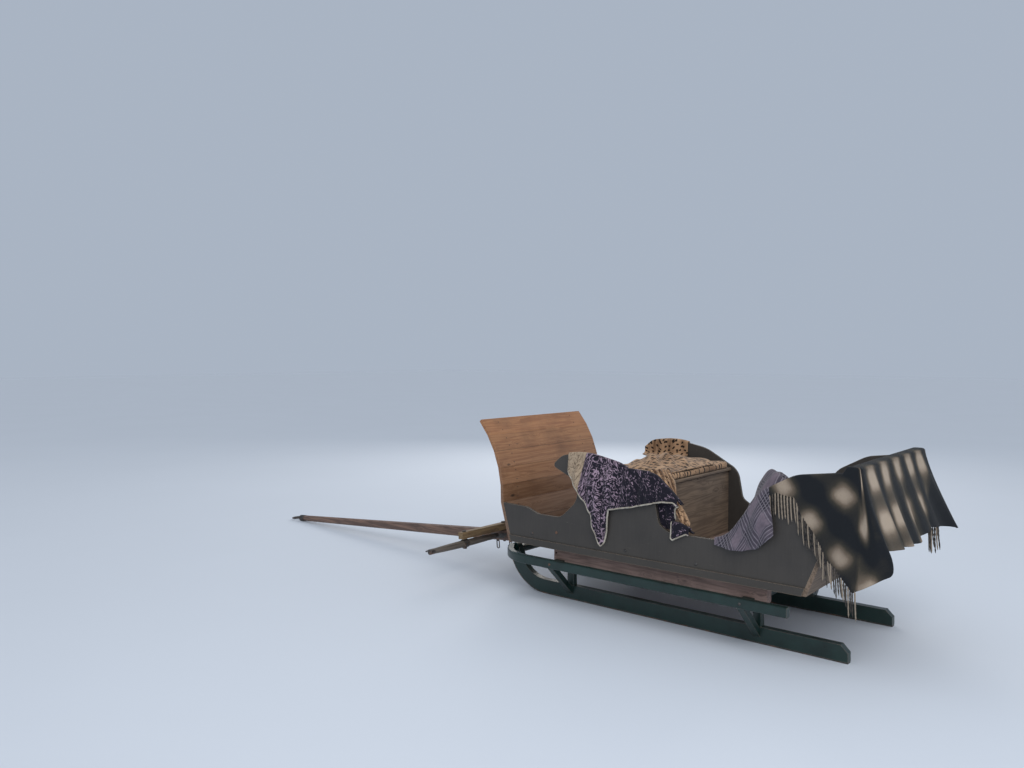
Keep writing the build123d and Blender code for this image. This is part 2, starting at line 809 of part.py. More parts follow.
with BuildPart() as evener:
    with BuildSketch(pole_level(evener_bottom)):
        with BuildLine():
            half = evener_length / 2
            wide = evener_width / 2
            narrow = wide * evener_taper
            middle_ahead = evener_station + wide
            ThreePointArc(
                (evener_station + narrow, -half), (middle_ahead, 0), (evener_station + narrow, half)
            )
            Line((evener_station + narrow, half), (evener_station - narrow, half))
            ThreePointArc(
                (evener_station - narrow, half), (evener_station - wide, 0), (evener_station - narrow, -half)
            )
            Line((evener_station - narrow, -half), (evener_station + narrow, -half))
        make_face()
    extrude(amount=evener_thickness)
    with BuildSketch(pole_level(0)):
        with Locations((evener_station, 0)):
            Circle(evener_pin_radius + hinge_clearance)
        with Locations((evener_station, singletree_half), (evener_station, -singletree_half)):
            Circle(link_bolt_radius)
    extrude(amount=evener_top + 1, mode=Mode.SUBTRACT)
keep(evener, "evener")

# Irons under and over the evener's ends: the bolts that carry the singletrees, and spare links
collar_radius = singletree_diameter / 2 + collar_wall
singletree_height = evener_bottom - link_clearance - collar_radius
with BuildPart() as evener_irons:
    for sign in (1, -1):
        spot = (evener_station, sign * singletree_half)
        with BuildSketch(pole_level(singletree_height - collar_radius - link_bolt_end)):
            with Locations(spot):
                Circle(link_bolt_radius)
        extrude(amount=evener_top - singletree_height + collar_radius + link_bolt_end)
        with BuildSketch(pole_level(evener_bottom - link_clearance + link_play)):
            with Locations(spot):
                Circle(link_bolt_radius + link_washer_wall)
        extrude(amount=link_clearance - link_play)
        for height in (evener_top, singletree_height - collar_radius - link_play - link_nut_height):
            with BuildSketch(pole_level(height)):
                with Locations(spot):
                    RegularPolygon(link_bolt_radius + link_nut_wall, 6)
            extrude(amount=link_nut_height)
keep(evener_irons, "evener_irons")

# Two spare links that hang from staples under the pole's root
with BuildPart() as spare_links:
    for run in spare_link_runs:
        staple_middle = pole_level(-pole_root_width / 2).from_local_coords((run, 0, 0))
        with BuildSketch(Plane(origin=staple_middle, x_dir=(0, 1, 0), z_dir=-pole_up)):
            with Locations((staple_radius, 0)):
                Circle(link_wire)
        revolve(axis=Axis(staple_middle, -pole_axis), revolution_arc=180)
        link_top = -pole_root_width / 2 - staple_radius + 2 * link_wire + soft_gap
        arc_top = link_top - link_end_radius
        arc_low = arc_top - link_straight
        with BuildLine(pole_side(0)) as link_path:
            Line((run + link_end_radius, arc_low), (run + link_end_radius, arc_top))
            ThreePointArc(
                (run + link_end_radius, arc_top), (run, link_top), (run - link_end_radius, arc_top)
            )
            Line((run - link_end_radius, arc_top), (run - link_end_radius, arc_low))
            ThreePointArc(
                (run - link_end_radius, arc_low),
                (run, arc_low - link_end_radius),
                (run + link_end_radius, arc_low),
            )
        with BuildSketch(Plane(origin=link_path.line @ 0, z_dir=pole_up)):
            Circle(link_wire)
        sweep(path=link_path.line)
keep(spare_links, "spare_links")

# Singletrees, each turning on its bolt under the evener's end
end_ring_radius = singletree_end / 2 + end_cap_wall
for side, sign in sides.items():
    middle = pole_level(singletree_height).from_local_coords((evener_station, sign * singletree_half, 0))
    half = singletree_length / 2
    belly = singletree_diameter / 2
    tip = singletree_end / 2
    with BuildPart() as singletree:
        with BuildSketch(Plane(origin=middle, x_dir=(0, 1, 0), z_dir=pole_axis)):
            with BuildLine():
                Line((-half, 0), (-half, tip))
                ThreePointArc((-half, tip), (0, belly), (half, tip))
                Polyline((half, tip), (half, 0), (-half, 0))
            make_face()
        revolve(axis=Axis(middle, (0, 1, 0)))
        with BuildSketch(Plane(origin=middle, x_dir=pole_axis, z_dir=pole_up)):
            Circle(link_bolt_radius + hinge_clearance)
        extrude(amount=collar_radius, both=True, mode=Mode.SUBTRACT)
    keep(singletree, f"singletree_{side}")

    with BuildPart() as singletree_irons:
        with BuildSketch(Plane(origin=middle, x_dir=pole_axis, z_dir=(0, -1, 0))):
            Circle(collar_radius)
            Circle(belly + hinge_clearance, mode=Mode.SUBTRACT)
        extrude(amount=collar_width / 2, both=True)
        with BuildSketch(Plane(origin=middle, x_dir=pole_axis, z_dir=pole_up)):
            Circle(link_bolt_radius + hinge_clearance)
        extrude(amount=collar_radius + 1, both=True, mode=Mode.SUBTRACT)
        for end in (1, -1):
            end_middle = middle + Vector(0, end * half, 0)
            with BuildSketch(Plane(origin=end_middle, x_dir=pole_axis, z_dir=(0, -end, 0))):
                Circle(end_ring_radius)
            extrude(amount=end_cap_length)
            with BuildSketch(Plane(origin=end_middle, x_dir=pole_axis, z_dir=(0, end, 0))):
                Circle(end_ring_radius)
            extrude(amount=end_cap_plate)
            hook_middle = end_middle - Vector(0, end * end_cap_length / 2, 0)
            hook_middle += pole_axis * (end_ring_radius + hook_radius - hook_wire / 2)
            with BuildSketch(Plane(origin=hook_middle, x_dir=-pole_axis, z_dir=(0, end, 0))):
                with Locations((hook_radius, 0)):
                    Circle(hook_wire)
            revolve(axis=Axis(hook_middle, pole_up), revolution_arc=hook_turn)
        add(singletree.part, mode=Mode.SUBTRACT)
    keep(singletree_irons, f"singletree_irons_{side}")

# Every piece is moved so that the origin is on the ground under the middle of the sleigh
boxes = [piece.bounding_box() for piece in pieces]
middle = (min(box.min.X for box in boxes) + max(box.max.X for box in boxes)) / 2
os.makedirs("parts", exist_ok=True)
for piece in pieces:
    export_step(piece.moved(Location((-middle, 0, 0))), f"parts/{piece.label}.step")
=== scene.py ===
import math

import bpy
import numpy as np
from bpy.props import FloatProperty, FloatVectorProperty, PointerProperty
from mathutils import Matrix, Vector
from mathutils.bvhtree import BVHTree


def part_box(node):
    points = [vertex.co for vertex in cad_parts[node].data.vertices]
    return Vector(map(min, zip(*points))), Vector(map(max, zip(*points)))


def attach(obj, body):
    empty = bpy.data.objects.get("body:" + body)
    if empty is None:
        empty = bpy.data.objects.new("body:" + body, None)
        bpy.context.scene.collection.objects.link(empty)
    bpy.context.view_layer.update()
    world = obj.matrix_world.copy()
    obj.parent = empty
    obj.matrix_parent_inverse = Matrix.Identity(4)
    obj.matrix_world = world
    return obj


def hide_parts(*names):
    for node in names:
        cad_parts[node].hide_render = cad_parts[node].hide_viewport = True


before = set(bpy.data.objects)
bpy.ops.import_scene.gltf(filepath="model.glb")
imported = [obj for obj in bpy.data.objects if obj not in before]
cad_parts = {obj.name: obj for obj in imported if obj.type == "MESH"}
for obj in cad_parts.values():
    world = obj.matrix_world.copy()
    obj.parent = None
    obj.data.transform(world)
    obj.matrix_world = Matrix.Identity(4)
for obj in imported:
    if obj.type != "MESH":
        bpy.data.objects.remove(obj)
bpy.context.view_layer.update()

bl_info = {
    "name": "Sleigh Dresser",
    "version": (1, 0, 0),
    "blender": (4, 5, 0),
    "location": "3D View > Sidebar > Sleigh",
    "description": "Finishes a two-bench wooden sleigh: paint, plank, iron and its blankets",
    "category": "Object",
}

# Places read from the frame, in metres. Stations run along X from the body's rear bottom corner.
PANEL_LOW, PANEL_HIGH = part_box("side_panel_left")
RAIL_LOW, RAIL_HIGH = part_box("back_rail")
CUSHION_LOW, CUSHION_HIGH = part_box("rear_cushion")
BENCH_LOW, BENCH_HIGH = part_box("driver_seat")
GUARD_RAIL_TAIL = 0.055        # station of the guard rails' rear ends
BODY_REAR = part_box("rail_left")[0].x - GUARD_RAIL_TAIL
BODY_HALF = PANEL_HIGH.y
PANEL_INNER = PANEL_LOW.y
BODY_BOTTOM = PANEL_LOW.z
BACK_LEAN = (BODY_REAR - PANEL_LOW.x) / (RAIL_LOW.z - BODY_BOTTOM)

# Heights of the dash's joints, foot and top included
DASH_CUTS = (0.3600, 0.4930, 0.6260, 0.7469, 0.8657, 0.9795, 1.0851, 1.1941)
NAIL_INSET = 0.028             # from a joint of the dash to its nails
NAIL_ROW = 0.43                # Y of the two rows of nails
PANEL_BOLTS = ((1.8365, 0.450), (1.632, 0.4815), (0.62, 0.440), (1.10, 0.445))  # station, height
EDGE_INSET = 0.006             # from a rail's or runner's outer face to where its height is taken

# Camera
CAMERA_PLACE = (-4.103, 4.903, 1.65)
CAMERA_HEADING = -49.72        # degrees from +X
CAMERA_TILT = 2.015            # degrees down
CAMERA_LENS = 29.13

# Cloths: clearances and widths, then tables of hems and ridges
CLEAR = 0.004                  # between a cloth and the wood that it lies on
BENCH_TURN = 0.035             # a cloth starts to turn up this far inside a panel
RAIL_CROWN = 0.020             # rounding of the throw over its rail
PANEL_CROWN = 0.016            # rounding of a cloth over a side panel
TWILL = 0.006                  # from one ridge of the wool's twill to the next
REAR_HEM = ((-0.587, 0.615), (-0.45, 0.640), (-0.18, 0.672), (0.07, 0.630), (0.40, 0.655), (0.60, 0.672))
WING_HEM = (
    (-0.436, 0.568), (-0.370, 0.517), (-0.270, 0.440), (-0.224, 0.500), (-0.182, 0.553),
    (-0.140, 0.580), (-0.114, 0.638), (-0.071, 0.710), (-0.027, 0.765), (0.017, 0.826),
    (0.035, 0.886), (0.135, 0.907), (0.248, 0.903),
)
ROBE_HEM = ((0.139, 0.735), (0.194, 0.665), (0.268, 0.590), (0.337, 0.566), (0.41, 0.562), (0.50, 0.572))
PLUSH_HEM = ((1.29, 0.85), (1.45, 0.84), (1.66, 0.90))
FLEECE_HEM = (
    (0.742, 0.768), (0.770, 0.780), (0.836, 0.778), (0.897, 0.764), (1.037, 0.726), (1.210, 0.689),
    (1.221, 0.640), (1.226, 0.548), (1.244, 0.480), (1.262, 0.453), (1.297, 0.512), (1.332, 0.575),
    (1.338, 0.627), (1.396, 0.716), (1.461, 0.805), (1.528, 0.907),
)
FLEECE_RIDGE = ((0.742, 0.795), (0.797, 0.850), (0.885, 0.925), (0.95, 0.945), (1.10, 0.950))
REAR_PLAID = (0.474, 1.010)    # Y and height of a light patch behind
WING_PLAID = (-0.216, 0.932)   # station and height of one on the wing
WING_PLAID_TURN = 0.75         # radians
REAR_FRINGE = slice(26, 50)    # columns of the throw whose rear hem has a fringe


def station(x):
    """X in the frame of a place x metres ahead of the body's rear bottom corner."""
    return BODY_REAR + x


# Shader helpers


def add_node(tree, kind, settings=None, **inputs):
    """Add a shader node; inputs that are sockets are linked, the rest are written as values."""
    node = tree.nodes.new(kind)
    for name, value in (settings or {}).items():
        setattr(node, name, value)
    for name, value in inputs.items():
        socket = node.inputs[int(name[2:]) if name.startswith("in") else name.replace("_", " ")]
        if isinstance(value, bpy.types.NodeSocket):
            tree.links.new(value, socket)
        else:
            socket.default_value = value
    return node


def colour(values):
    """A colour with its alpha of 1."""
    return (*values[:3], 1.0)


def ramp(tree, factor, stops, smooth=False):
    """Colour ramp through (place, colour) stops, driven by factor."""
    node = add_node(tree, "ShaderNodeValToRGB", Fac=factor)
    node.color_ramp.interpolation = "EASE" if smooth else "LINEAR"
    elements = node.color_ramp.elements
    while len(elements) < len(stops):
        elements.new(0.5)
    for element, (place, value) in zip(elements, stops):
        element.position = place
        element.color = colour(value)
    return node.outputs["Color"]


def grey(level):
    """A neutral colour of one level."""
    return (level, level, level)


def blend_colour(tree, factor, first, second, mode="MIX"):
    """Mix two colours, each a socket or a plain colour."""
    node = tree.nodes.new("ShaderNodeMix")
    node.data_type = "RGBA"
    node.blend_type = mode
    for socket, value in ((node.inputs[0], factor), (node.inputs[6], first), (node.inputs[7], second)):
        if isinstance(value, bpy.types.NodeSocket):
            tree.links.new(value, socket)
        else:
            socket.default_value = value if isinstance(value, float) else colour(value)
    return node.outputs[2]


def arithmetic(tree, operation, first, second=0.5):
    """One Math node; both inputs may be sockets or numbers."""
    return add_node(tree, "ShaderNodeMath", {"operation": operation}, in0=first, in1=second).outputs[0]


def times(tree, first, second):
    """Product of two sockets or numbers."""
    return arithmetic(tree, "MULTIPLY", first, second)


def plus(tree, first, second):
    """Sum of two sockets or numbers."""
    return arithmetic(tree, "ADD", first, second)


def minus(tree, first, second):
    """The first socket or number less the second."""
    return arithmetic(tree, "SUBTRACT", first, second)


def spread_over(tree, value, low, high, start=0.0, end=1.0, smooth=False):
    """From start, where value is low or less, to end, where it is high or more."""
    return add_node(
        tree, "ShaderNodeMapRange", {"interpolation_type": "SMOOTHSTEP" if smooth else "LINEAR"},
        Value=value, From_Min=low, From_Max=high, To_Min=start, To_Max=end,
    ).outputs["Result"]


def texture_space(tree, scale=(1, 1, 1), rotation=(0, 0, 0), location=(0, 0, 0), source="Object"):
    """Object or UV coordinates, scaled and turned by a Mapping node."""
    coordinates = add_node(tree, "ShaderNodeTexCoord").outputs[source]
    mapping = add_node(tree, "ShaderNodeMapping", Vector=coordinates)
    mapping.inputs["Scale"].default_value = scale
    mapping.inputs["Rotation"].default_value = rotation
    mapping.inputs["Location"].default_value = location
    return mapping.outputs["Vector"]


def noise(tree, vector, scale, detail=4.0, roughness=0.55, distortion=0.0):
    """Fractal noise, as one factor."""
    return add_node(
        tree, "ShaderNodeTexNoise", Vector=vector, Scale=scale, Detail=detail,
        Roughness=roughness, Distortion=distortion,
    ).outputs["Fac"]


def shaded(colour_values, level):
    """A colour made darker or lighter by one factor."""
    return tuple(level * value for value in colour_values)


def coordinates_of(tree):
    """Object X, Y and Z as sockets of one node."""
    return add_node(tree, "ShaderNodeSeparateXYZ", Vector=texture_space(tree)).outputs


def new_finish(name, roughness):
    """An empty material: its tree and its Principled shader."""
    material = bpy.data.materials.new(name)
    material.use_nodes = True
    tree = material.node_tree
    shader = tree.nodes["Principled BSDF"]
    shader.inputs["Roughness"].default_value = roughness
    return material, tree, shader


def bump(tree, shader, height, strength, distance):
    """Bump the shader's normal by a height socket."""
    node = add_node(tree, "ShaderNodeBump", Height=height)
    node.inputs["Strength"].default_value = strength
    node.inputs["Distance"].default_value = distance
    tree.links.new(node.outputs["Normal"], shader.inputs["Normal"])


GRAIN_SCALES = {"X": (1.0, 22.0, 22.0), "Y": (22.0, 1.0, 22.0), "Z": (22.0, 22.0, 1.0)}
KNOT_SCALES = {"X": (4.0, 9.5, 9.5), "Y": (9.5, 4.0, 9.5), "Z": (9.5, 9.5, 4.0)}


def wood_colour(tree, light, dark, knot, axis, knots, figure):
    """Wood: stretched noise bands along the grain, fine fibres, and dark knots that bend it."""
    straight = texture_space(tree, GRAIN_SCALES[axis])
    knot_space = texture_space(tree, KNOT_SCALES[axis])
    spots = add_node(
        tree, "ShaderNodeTexVoronoi", {"feature": "F1"}, Vector=knot_space, Scale=1.0, Randomness=1.0
    ).outputs["Distance"]
    near_knot = spread_over(tree, spots, 0.0, 0.30, 1.0, 0.0)
    bent = add_node(tree, "ShaderNodeVectorMath", {"operation": "ADD"}, in0=straight)
    bend = add_node(tree, "ShaderNodeVectorMath", {"operation": "SCALE"}, in0=(1.0, 1.0, 1.0))
    tree.links.new(times(tree, near_knot, 1.4 * knots), bend.inputs["Scale"])
    tree.links.new(bend.outputs[0], bent.inputs[1])
    bands = noise(tree, bent.outputs[0], figure, 3.0, 0.45, 0.6)
    fibres = noise(tree, straight, 9.0, 4.0, 0.7)
    base = ramp(tree, bands, [(0.32, dark), (0.47, light), (0.55, dark), (0.66, light)], True)
    base = blend_colour(tree, 0.28, base, ramp(tree, fibres, [(0.35, dark), (0.62, light)]))
    core = spread_over(tree, spots, 0.055, 0.12, knots, 0.0)
    return blend_colour(tree, core, base, knot), fibres


def ease(low, high, values):
    """0 below low, 1 above high, and a smooth cubic between."""
    share = np.clip((values - low) / (high - low), 0.0, 1.0)
    return share * share * (3.0 - 2.0 * share)


# Mesh helpers


def grid_faces(rows, columns, round_rows=False):
    """Quads of a grid of rows by columns; round_rows joins the last column to the first."""
    across = columns if round_rows else columns - 1
    row, column = np.meshgrid(np.arange(rows - 1), np.arange(across), indexing="ij")
    following = (column + 1) % columns
    quads = np.stack(
        [row * columns + column, row * columns + following,
         (row + 1) * columns + following, (row + 1) * columns + column], axis=-1,
    )
    return quads.reshape(-1, 4)


def ring_cap(around):
    """Quads that fan out from a ring's first point and close it; the ring has an even number."""
    step = np.arange(1, around - 2, 2)
    return np.stack([0 * step, step, step + 1, step + 2], axis=-1)


def new_piece(name, points, faces, finish, uv=None):
    """A mesh object from whole arrays: points (n, 3), a tuple of face arrays (m, k) and, for each
    point, uv (n, 2)."""
    mesh = bpy.data.meshes.new(name)
    mesh.from_pydata(points.reshape(-1, 3).tolist(), [], sum((part.tolist() for part in faces), []))
    mesh.polygons.foreach_set("use_smooth", np.ones(len(mesh.polygons), dtype=bool))
    if uv is not None:
        corners = np.empty(len(mesh.loops), dtype=np.int32)
        mesh.loops.foreach_get("vertex_index", corners)
        layer = mesh.uv_layers.new(name="Cloth")
        layer.data.foreach_set("uv", uv.reshape(-1, 2)[corners].astype(np.float32).ravel())
    mesh.materials.append(finish)
    mesh.update()
    piece = bpy.data.objects.new(name, mesh)
    bpy.context.scene.collection.objects.link(piece)
    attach(piece, "root")
    return piece


def cloth_piece(name, shape, finish, thickness):
    """A sheet from its shape: a grid of points (rows, columns, 3), the way its faces point and its
    UV. Solidify gives it its thickness on that side."""
    grid, outward, uv = shape
    rows, columns = grid.shape[:2]
    faces = grid_faces(rows, columns)
    along = np.diff(grid, axis=0)[:, :-1]
    across = np.diff(grid, axis=1)[:-1]
    facing = (np.cross(across, along) * outward[:-1, :-1]).sum()
    if facing < 0:
        faces = faces[:, ::-1]
    piece = new_piece(name, grid, (faces,), finish, uv)
    wall = piece.modifiers.new("Cloth thickness", "SOLIDIFY")
    wall.thickness = thickness
    wall.offset = 1.0
    return piece


def run_lengths(points):
    """Distance along a line of points, from its first."""
    steps = np.linalg.norm(np.diff(points, axis=0), axis=-1)
    return np.concatenate([[0.0], np.cumsum(steps)])


def tube_piece(name, points, side, radius, finish, around=8):
    """A closed tube: a circle carried along points, laid out by side and its normal, smaller at both
    ends and closed there by fans."""
    side = np.array(side)
    tangent = np.gradient(points, axis=0)
    tangent /= np.linalg.norm(tangent, axis=-1, keepdims=True)
    first = side - (side * tangent).sum(-1, keepdims=True) * tangent
    first /= np.linalg.norm(first, axis=-1, keepdims=True)
    second = np.cross(tangent, first)
    angle = np.linspace(0, 2 * np.pi, around, endpoint=False)[None, :, None]
    spread = np.full(len(points), radius)
    spread[[0, -1]] *= 0.3
    ring = np.cos(angle) * first[:, None] + np.sin(angle) * second[:, None]
    rings = points[:, None] + spread[:, None, None] * ring
    corners = np.concatenate([rings.reshape(-1, 3), points[[0]], points[[-1]]])
    start, end = len(corners) - 2, len(corners) - 1
    index = np.arange(around)
    following = (index + 1) % around
    last = (len(points) - 1) * around
    caps = np.concatenate([
        np.stack([np.full(around, start), following, index], axis=-1),
        np.stack([np.full(around, end), last + index, last + following], axis=-1),
    ])
    return new_piece(name, corners, (grid_faces(len(points), around, True), caps), finish)


def strands(roots, lean, length, radius, along=11, around=6):
    """Twisted fringe strands: a two-lobed section turned five times on its way down from a root."""
    share = np.linspace(0, 1, along)
    angle = np.linspace(0, 2 * np.pi, around, endpoint=False)
    drop = roots[:, None] + share[None, :, None] * length[:, None, None] * np.array([0, 0, -1.0])
    drop = drop + (share**1.6)[None, :, None] * lean[:, None]
    turn = 10 * np.pi * share[None, :, None] + roots[:, 0, None, None] * 400
    thick = radius * (1 + 0.25 * np.cos(2 * angle[None, None] - turn)) * (1 - 0.25 * share[None, :, None])
    thick = thick * np.where(share == 0, 0.5, np.where(share == 1, 0.35, 1.0))[None, :, None]
    ring = np.stack([np.cos(angle), np.sin(angle), np.zeros(around)], axis=-1)
    points = drop[:, :, None] + thick[..., None] * ring[None, None]
    count = along * around
    quads = grid_faces(along, around, True)[None] + (np.arange(len(roots)) * count)[:, None, None]
    caps = np.concatenate([ring_cap(around)[:, ::-1], ring_cap(around) + count - around])
    caps = caps[None] + (np.arange(len(roots)) * count)[:, None, None]
    return points.reshape(-1, 3), np.concatenate([quads.reshape(-1, 4), caps.reshape(-1, 4)])


def domed_heads(places, outward, radius, height, rings=6, around=12):
    """Round heads, each a quarter ellipse turned about outward at its place and closed underneath."""
    climb = np.linspace(0, np.pi / 2, rings)[:-1]
    out = np.concatenate([[1.0], np.cos(climb), [0.12]]) * radius
    up = np.concatenate([[-0.5], np.sin(climb), [1.0]]) * height
    turn = np.linspace(0, 2 * np.pi, around, endpoint=False)[:, None]
    side = np.cross(outward, (0.0, 0.0, 1.0))[:, None]
    rise = np.cross(outward[:, None], side)
    ring = (np.cos(turn) * side + np.sin(turn) * rise)[:, None]
    points = places[:, None, None] + out[:, None, None] * ring + up[:, None, None] * outward[:, None, None]
    count = len(out) * around
    faces = np.concatenate([
        grid_faces(len(out), around, True), ring_cap(around)[:, ::-1], ring_cap(around) + count - around
    ])
    faces = faces[None] + (np.arange(len(places)) * count)[:, None, None]
    return points.reshape(-1, 3), faces.reshape(-1, 4)


def mesh_points(mesh):
    """A mesh's points as an array (n, 3)."""
    points = np.empty(len(mesh.vertices) * 3)
    mesh.vertices.foreach_get("co", points)
    return points.reshape(-1, 3)


def surface_point(node, origin, direction):
    """Where a ray first meets a CAD node."""
    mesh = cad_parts[node].data
    faces = [tuple(face.vertices) for face in mesh.polygons]
    surface = BVHTree.FromPolygons(mesh_points(mesh).tolist(), faces)
    place = surface.ray_cast(Vector(origin), Vector(direction))[0]
    if place is None:
        raise RuntimeError(f"no surface of {node} at {origin}")
    return tuple(place)


def rim_edges(node):
    """Segments (x, z to x, z) of the mesh edges on the outer face of a side panel."""
    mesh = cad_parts[node].data
    points = mesh_points(mesh)
    pairs = np.empty(len(mesh.edges) * 2, dtype=np.int32)
    mesh.edges.foreach_get("vertices", pairs)
    pairs = pairs.reshape(-1, 2)
    outer = np.abs(points[:, 1] - BODY_HALF) < 1e-4
    return points[pairs[outer[pairs].all(axis=1)]][:, :, [0, 2]]


RIM = rim_edges("side_panel_left")


def panel_top(x):
    """Height of the side panel's top edge at X: the highest crossing of its outer face's edges."""
    x = np.asarray(x, dtype=float)
    start, end = RIM[:, 0][:, None], RIM[:, 1][:, None]
    run = end[..., 0] - start[..., 0]
    safe = np.where(np.abs(run) < 1e-9, 1.0, run)
    share = (x.ravel()[None] - start[..., 0]) / safe
    height = start[..., 1] + share * (end[..., 1] - start[..., 1])
    inside = (share >= 0) & (share <= 1) & (np.abs(run) >= 1e-9)
    return np.where(inside, height, 0.0).max(axis=0).reshape(x.shape)


def rest_height(x, reach=0.012):
    """Height at which cloth lies on the side panel's edge: the highest of it within reach."""
    return np.max([panel_top(x + shift) for shift in (-reach, 0.0, reach)], axis=0)


def through_keys(x, keys):
    """Height at each X on straight runs through (station, height) keys."""
    stations, heights = np.transpose(keys)
    return np.interp(x, station(stations), heights)


def folds(along, down, waves, seed):
    """Hanging folds, from 0 to 1: skewed sines along the hem whose phase drifts with the drop."""
    phases = np.random.default_rng(seed).uniform(0, 2 * np.pi, len(waves))
    total = np.zeros(np.broadcast(along, down).shape)
    for (width, weight, drift), phase in zip(waves, phases):
        turn = 2 * np.pi * (along + drift * down) / width + phase
        total = total + weight * (0.5 + 0.5 * np.sin(turn + 0.4 * np.sin(turn)))
    return total / sum(weight for _, weight, _ in waves)


# Finishes


def sharp_edges(tree, radius, gain):
    """How near a surface is to an edge, from how far a rounded normal leaves the real one."""
    rounded = add_node(tree, "ShaderNodeBevel", {"samples": 6}, Radius=radius).outputs["Normal"]
    true = add_node(tree, "ShaderNodeNewGeometry").outputs["Normal"]
    match = add_node(tree, "ShaderNodeVectorMath", {"operation": "DOT_PRODUCT"}, in0=rounded, in1=true)
    away = minus(tree, 1.0, match.outputs["Value"])
    return times(tree, away, gain)


def running_green():
    """Dark green gloss paint, scraped along the grain and worn to grey wood on its edges."""
    paints = bpy.context.scene.sleigh_paints
    material, tree, shader = new_finish("running_green", 0.42)
    space = texture_space(tree)
    long_space = texture_space(tree, (1.2, 9.0, 9.0))
    shade = noise(tree, space, 7.0, 5.0, 0.65)
    dark, light = shaded(paints.green, 0.55), shaded(paints.green, 1.35)
    paint = ramp(tree, shade, [(0.3, dark), (0.5, paints.green), (0.72, light)])
    fibres = noise(tree, long_space, 9.0, 5.0, 0.7)
    wood = ramp(tree, fibres, [(0.3, (0.07, 0.055, 0.045)), (0.7, (0.27, 0.22, 0.18))])
    scrapes = noise(tree, long_space, 6.0, 8.0, 0.75)
    edge = sharp_edges(tree, 0.006, 2.6)
    worn = plus(tree, times(tree, edge, scrapes), times(tree, scrapes, 0.9))
    worn = spread_over(tree, worn, 0.60, 0.68, 0.0, paints.wear)
    tree.links.new(blend_colour(tree, worn, paint, wood), shader.inputs["Base Color"])
    rough = plus(tree, times(tree, worn, 0.35), times(tree, shade, 0.5))
    tree.links.new(plus(tree, rough, 0.12), shader.inputs["Roughness"])
    bump(tree, shader, minus(tree, scrapes, worn), 0.35, 0.002)
    return material


def olive_paint():
    """Matt olive paint brushed upright on board: mottled, scuffed, chipped to wood on its edges."""
    paints = bpy.context.scene.sleigh_paints
    material, tree, shader = new_finish("body_olive", 0.6)
    brush_space = texture_space(tree, (14.0, 14.0, 1.2))
    space = texture_space(tree)
    mottle = noise(tree, space, 2.6, 6.0, 0.62)
    strokes = noise(tree, brush_space, 7.0, 4.0, 0.6)
    dark, light = shaded(paints.olive, 0.72), shaded(paints.olive, 1.25)
    paint = ramp(tree, mottle, [(0.28, dark), (0.5, paints.olive), (0.74, light)])
    paint = blend_colour(tree, 0.22, paint, ramp(tree, strokes, [(0.35, dark), (0.65, light)]))
    scuff = noise(tree, texture_space(tree, (1.0, 4.0, 7.0)), 9.0, 9.0, 0.8)
    scuff = spread_over(tree, scuff, 0.62, 0.76, 0.0, 0.5)
    paint = blend_colour(tree, scuff, paint, (0.30, 0.275, 0.23))
    low = add_node(tree, "ShaderNodeSeparateXYZ", Vector=space).outputs["Z"]
    grime = spread_over(tree, low, BODY_BOTTOM, BODY_BOTTOM + 0.16, 0.55, 0.0)
    grime = times(tree, grime, mottle)
    paint = blend_colour(tree, grime, paint, (0.060, 0.052, 0.042))
    edge = times(tree, sharp_edges(tree, 0.004, 3.0), noise(tree, space, 34.0, 5.0, 0.7))
    chipped = spread_over(tree, edge, 0.16, 0.30, 0.0, paints.wear)
    tree.links.new(blend_colour(tree, chipped, paint, (0.36, 0.27, 0.18)), shader.inputs["Base Color"])
    tree.links.new(spread_over(tree, mottle, 0.0, 1.0, 0.48, 0.72), shader.inputs["Roughness"])
    bump(tree, shader, plus(tree, strokes, times(tree, chipped, -1.5)), 0.18, 0.0012)
    return material


def forged_iron():
    """Dull forged iron: hammer marks, brown rust in patches, bright where it rubs."""
    paints = bpy.context.scene.sleigh_paints
    material, tree, shader = new_finish("forged_iron", 0.5)
    space = texture_space(tree)
    pits = noise(tree, space, 60.0, 6.0, 0.7)
    patches = noise(tree, space, 14.0, 5.0, 0.65)
    metal = ramp(tree, pits, [(0.3, shaded(paints.iron, 0.6)), (0.7, shaded(paints.iron, 1.7))])
    rust = ramp(tree, pits, [(0.3, (0.07, 0.028, 0.014)), (0.7, (0.20, 0.085, 0.035))])
    rusty = spread_over(tree, patches, 0.50, 0.62, 0.0, 0.75)
    base = blend_colour(tree, rusty, metal, rust)
    bright = spread_over(tree, times(tree, sharp_edges(tree, 0.0025, 2.0), pits), 0.16, 0.30, 0.0, 0.8)
    tree.links.new(blend_colour(tree, bright, base, (0.42, 0.40, 0.38)), shader.inputs["Base Color"])
    tree.links.new(minus(tree, 0.9, rusty), shader.inputs["Metallic"])
    tree.links.new(spread_over(tree, pits, 0.0, 1.0, 0.38, 0.68), shader.inputs["Roughness"])
    bump(tree, shader, pits, 0.4, 0.0012)
    return material


def share_along(tree, cuts, axis):
    """Shares of the way from the first cut to the last: of each cut, and as a socket of the place."""
    low, high = cuts[0], cuts[-1]
    place = add_node(tree, "ShaderNodeTexCoord").outputs["Object"]
    place = add_node(tree, "ShaderNodeSeparateXYZ", Vector=place).outputs[axis]
    return [(cut - low) / (high - low) for cut in cuts], spread_over(tree, place, low, high)


